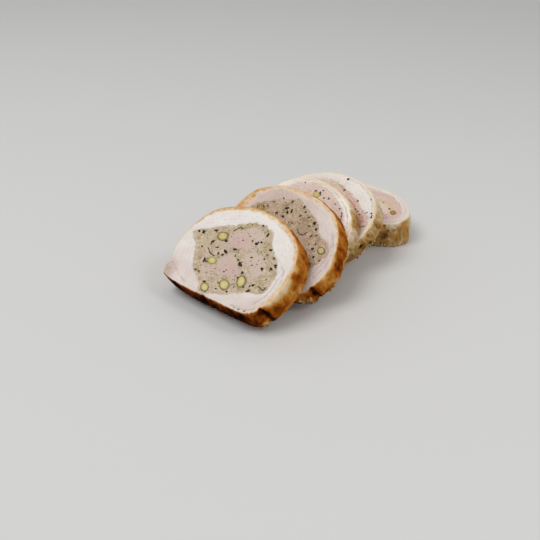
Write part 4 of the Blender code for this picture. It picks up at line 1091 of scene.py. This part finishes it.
def makeMeatMaterial(shape, filling):
    look = meatLook
    newMaterial(shape["name"] + "PoachedMeat", 0.2, 2.0, 0.0)
    place = cutPlace()
    fromRim, side = attribute("fromRim"), attribute("skinSide")
    # browning holds the roast together with painted shade and painted highlight on the skin
    pinkness, browned = attribute("pinkness"), attribute("browningAndPaintedLight")
    wisps = noiseAt(place, *look["wisps"])
    pink = add(pinkness, around(noiseAt(place, *look["broad"]), 0.9), True)
    colour = blend(pink, shape.get("white", look["white"]), look["pink"])
    deep = times(spread(pinkness, 1.0, 2.2, 0.0, 0.9), spread(wisps, 0.35, 0.62, 0.45, 1.0))
    colour = blend(deep, colour, look["flush"])
    # layers of the muscle follow the rim
    warp = times(noiseAt(place, *look["layerWarp"]), look["layerWarpReach"])
    layers = combine("SINE", add(times(fromRim, look["layerPace"]), warp))
    faint = times(spread(layers, 0.8, 1.0), spread(wisps, 0.42, 0.6))
    patchy = spread(noiseAt(place, *look["layerPatches"]), 0.4, 0.6, 0.1, 0.42)
    crease = times(attribute("crease"), spread(wisps, 0.3, 0.6, 0.05, 0.5))
    for lines in (times(faint, patchy), crease):
        colour = blend(lines, colour, look["line"])
    colour = lay(colour, look["pink"], noiseAt(place, *look["grain"]), 0.6, 0.75, 0.18)
    colour = acrossSeam(place, colour, withGrain(place, filling["base"], filling), "ADD")
    # fat at the edge
    share = combine("DIVIDE", add(fromRim, around(wisps, 1.3)), attribute("fatWidth"))
    golden = times(attribute("fatGold"),
                   spread(noiseAt(place, *look["fatPatches"]), 0.35, 0.62, 0.3, 1.0))
    fat = blend(times(golden, spread(share, 1.15, 0.6)), look["cream"], look["gold"])
    colour = lay(colour, fat, share, 1.5, 0.7, 0.9)
    # pale skin is even, browned skin is blotched
    blotched, streaked = look[shape["skinTones"] + "Uneven"]
    mottle = around(noiseAt(cutPlace((1.0, 1.0, 0.6)), *look["mottle"]), blotched)
    mottle = times(mottle, spread(browned, 0.05, 0.4, 0.25, 1.0))
    streaks = around(noiseAt(cutPlace((1.0, 1.0, 0.2)), *look["streaks"]), streaked)
    browningAndPaintedLight = add(add(browned, mottle), streaks, True)
    roast = ramp(browningAndPaintedLight, look[shape["skinTones"]])
    if "warm" in shape:
        warm = spread(noiseAt(place, *look["toastPatches"]), 0.44, 0.64, 0.0, shape["warm"])
        roast = blend(times(warm, spread(browningAndPaintedLight, 0.05, 0.35)), roast, look["toasted"])
        roast = lay(roast, look["spot"], noiseAt(place, *look["spots"]), 0.64, 0.72, 0.6)
    # the cut line of the skin, then its outside
    cutLine = combine("SUBTRACT", add(fromRim, around(wisps, 0.9)), attribute("lineWidth"))
    colour = lay(colour, roast, cutLine, 0.35, -0.35, 0.95)
    colour = lay(colour, roast, side, 0.3, 0.75)
    rough = spread(side, 0.3, 0.75, look["roughness"], look["skinRoughness"])
    setInputs(making["shader"], {"Subsurface Weight": spread(
        side, 0.3, 0.75, look["softness"], look["skinSoftness"])})
    return finishMaterial(colour, add(rough, around(wisps, 0.3)),
                          look["fibres"], (faint, 0.4, -0.2), look["pores"])


forcemeatLook = {
    "base": (204, 185, 157), "dark": (162, 140, 104), "pale": (219, 203, 178),
    "rosy": (212, 188, 176), "herb": (184, 166, 118), "speck": (112, 90, 62),
    "olive": (146, 124, 76), "meat": (218, 204, 196), "gaps": 0.3, "clumps": 1.0,
    "roughness": 0.46,
    "patches": [("pale", "pale", 0.33), ("rosy", "rosy", 0.28), ("green", "herb", 0.38)],
    "bumps": [((0.7, 5, 0.65, 0.4), 0.8, 0.6), ((2.1, 3, 0.6), 0.4, 0.2)],
    # what differs from slice 1
    "slice_2": {"base": (200, 178, 150), "dark": (146, 122, 90), "pale": (212, 192, 164),
                "rosy": (202, 174, 154), "herb": (164, 142, 106), "speck": (92, 70, 46),
                "olive": (124, 102, 60), "meat": (208, 190, 180)},
    "slice_3": {"base": (227, 210, 200), "dark": (207, 185, 173), "pale": (234, 220, 211),
                "rosy": (219, 193, 185), "herb": (214, 190, 142), "speck": (176, 148, 128),
                "olive": (210, 186, 166), "meat": (232, 221, 215), "gaps": 0.1,
                "clumps": 0.3},
    "slice_4": {"base": (226, 207, 188), "dark": (200, 178, 154), "pale": (232, 216, 200),
                "rosy": (214, 176, 170), "herb": (184, 156, 104), "speck": (150, 116, 86),
                "olive": (178, 148, 112), "meat": (234, 225, 218), "gaps": 0.15,
                "clumps": 0.35},
    "slice_5": {"base": (226, 206, 192), "dark": (208, 184, 168), "pale": (232, 216, 202),
                "rosy": (218, 182, 176), "herb": (214, 188, 142), "speck": (170, 140, 120),
                "olive": (206, 178, 148), "meat": (226, 210, 200), "gaps": 0.1,
                "clumps": 0.1},
}


def makeForcemeatMaterial(name, look):
    newMaterial(name, 0.15, 1.5, 0.3)
    place = cutPlace()
    colour = look["base"]
    for layer, shade, scale in look["patches"]:
        mask = add(attribute(layer), around(noiseAt(place, scale), 1.8), True)
        colour = blend(times(mask, 0.85), colour, look[shade])
    colour = withGrain(place, colour, look)
    # painted shade: darker in the hollows between crumbs
    colour = lay(colour, look["dark"], attribute("crumb"), 0.5, 0.0, look["gaps"])
    colour = acrossSeam(place, colour, look["meat"], "SUBTRACT")
    return finishMaterial(colour, look["roughness"], *look["bumps"])


hamTones = {
    "base": (204, 185, 169), "deep": (203, 171, 164), "pale": (215, 198, 183),
    "grainy": 0.0,      # the least that crumbs of the filling hide it
    "roughness": 0.42, "streaks": (1.0, 4, 0.6, 0.3), "broad": (0.2,),
    "edgeCrumbs": (0.7, 4, 0.6), "looseCrumbs": (0.45, 4),
    "bump": ((1.9, 3, 0.6), 0.3, 0.2),
    "slice_2": {"base": (154, 131, 100), "deep": (138, 115, 84), "pale": (176, 153, 122),
                "grainy": 0.35},
    # slice 4's deep pink is darkened, partly painted shade from slice 3's skin over the
    # ham's lower part
    "slice_4": {"base": (210, 174, 168), "deep": (176, 126, 116), "pale": (220, 192, 184)},
    "slice_5": {"base": (220, 190, 182), "deep": (206, 164, 156)},
}


def makeHamMaterial(name, look, filling, turn):
    newMaterial(name, 0.25, 2.0, 0.3)
    place = cutPlace()
    streaks = noiseAt(cutPlace((0.3, 1.0, 1.0), turn), *look["streaks"])
    deep = add(attribute("blush"), around(noiseAt(place, *look["broad"]), 0.9), True)
    colour = blend(deep, look["base"], look["deep"])
    colour = lay(colour, look["pale"], streaks, 0.5, 0.72, 0.4)
    # crumbs of the filling lie over it, most of all near its edge
    ragged = around(noiseAt(place, *look["edgeCrumbs"]), 7.0)
    share = spread(add(attribute("fromEdge"), ragged), 1.6, -0.8)
    loose = spread(noiseAt(place, *look["looseCrumbs"]), 0.56, 0.66, 0.0, 0.5)
    for least in (loose, look["grainy"]):
        share = combine("MAXIMUM", share, least)
    colour = blend(share, colour, withGrain(place, filling["base"], filling))
    return finishMaterial(colour, look["roughness"], (streaks, 0.4, 0.3), look["bump"])


def makeKernelMaterial():
    look = kernelLook
    newMaterial("cutPistachio", 0.15, 1.0)
    fromMiddle, howBrown = attribute("fromMiddle"), attribute("howBrown")
    mottle = noiseAt(cutPlace(), 0.9, 4.0)
    flesh = lay(look["flesh"], look["deepFlesh"], mottle, 0.35, 0.65)
    flesh = lay(flesh, look["outerFlesh"], fromMiddle, 0.2, 0.75, 0.6)
    browned = lay(look["brown"], look["deepBrown"], mottle, 0.42, 0.6)
    ring = spread(add(fromMiddle, around(mottle, 0.2)), 0.62, 0.88)
    colour = blend(times(attribute("rind"), ring), blend(howBrown, flesh, browned),
                   blend(howBrown, look["rind"], look["brownRind"]))
    return finishMaterial(colour, 0.4, (mottle, 0.35, 0.25))


def makeBitMaterial(name, dark, light):
    newMaterial(name, 0.0, 1.0, 0.15)
    mottle = noiseAt(cutPlace(), 1.4)
    return finishMaterial(lay(dark, light, mottle, 0.42, 0.68), 0.45, (mottle, 0.5, 0.2))


def makeFringeMaterial():
    newMaterial("skinShreds", 0.2, 1.0)
    mottle = noiseAt(cutPlace(), 1.2, 4.0)
    value = add(attribute("paleness"), around(mottle, 0.8), True)
    return finishMaterial(ramp(value, fringeLook["tones"]), 0.36, (mottle, 0.4, 0.3))


def buildSlices():
    kernel = makeKernelMaterial()
    pepper = {kind: makeBitMaterial(kind + "Pepper", *pepperLook[kind + "Tones"])
              for kind in ("black", "brown")}
    shreds = makeFringeMaterial()
    for index, shape in enumerate(sliceShapes):
        name = shape["name"]
        seed = 11.0 * (index + 1)
        filling = dict(forcemeatLook, **forcemeatLook.get(name, {}))
        makeRing(shape, seed, makeMeatMaterial(shape, filling))
        makeFilling(shape, seed, makeForcemeatMaterial(name + "Forcemeat", filling),
                    "pink_forcemeat" if name == "slice_3" else "forcemeat")
        if shape["ham"]:
            ham = makeHamMaterial(name + "Ham", dict(hamTones, **hamTones.get(name, {})),
                                  filling, 0.5 + index)
        for number in range(1, len(shape["ham"]) + 1):
            makeHam(shape, number, seed + number, ham)
        for number in range(1, len(shape["kernels"]) + 1):
            makeKernel(shape, number, kernel)
        makePepper(shape, seed, pepper)
        makeFringe(shape, seed, shreds)
        print("built", name)


stageLook = {
    "floor": (214, 214, 213), "world": 0.5,
    # place, size, power
    "key": ((-0.27, -0.81, 1.58), 0.95, 13.5),
    "fill": ((0.55, 0.15, 0.62), 0.25, 0.8),
}
cameraLook = {
    "place": (0.2518, -0.2969, 0.2230),
    "forward": (-0.5979, 0.6192, -0.5090),
    "lens": 45.0,
}


def aim(made, place, forward):
    made.location = place
    made.rotation_euler = Vector(forward).to_track_quat("-Z", "Y").to_euler()


def setStage():
    look = stageLook
    bm = bmesh.new()
    bmesh.ops.create_grid(bm, x_segments=2, y_segments=2, size=2.5)
    mesh = bpy.data.meshes.new("floor")
    bm.to_mesh(mesh)
    bm.free()
    material = bpy.data.materials.new("paleFloor")
    material.use_nodes = True
    setInputs(material.node_tree.nodes["Principled BSDF"],
              {"Base Color": tone(look["floor"]), "Roughness": 0.8})
    mesh.materials.append(material)
    floor = addObject("floor", mesh)
    world = bpy.data.worlds.new("softRoom")
    world.use_nodes = True
    setInputs(world.node_tree.nodes["Background"],
              {"Color": (1.0, 0.995, 0.985, 1.0), "Strength": look["world"]})
    bpy.context.scene.world = world
    for name in ("key", "fill"):
        place, size, power = look[name]
        data = bpy.data.lights.new(name, "AREA")
        data.shape = "DISK"
        data.size = size
        data.energy = power
        aim(addObject(name, data), place, -Vector(place))
    bpy.context.scene.view_settings.view_transform = "Standard"


def setCamera():
    data = bpy.data.cameras.new("camera")
    data.lens = cameraLook["lens"]
    data.sensor_width = 36.0
    data.clip_start = 0.01
    camera = addObject("camera", data)
    aim(camera, cameraLook["place"], cameraLook["forward"])
    bpy.context.scene.camera = camera


buildSlices()
setStage()
setCamera()
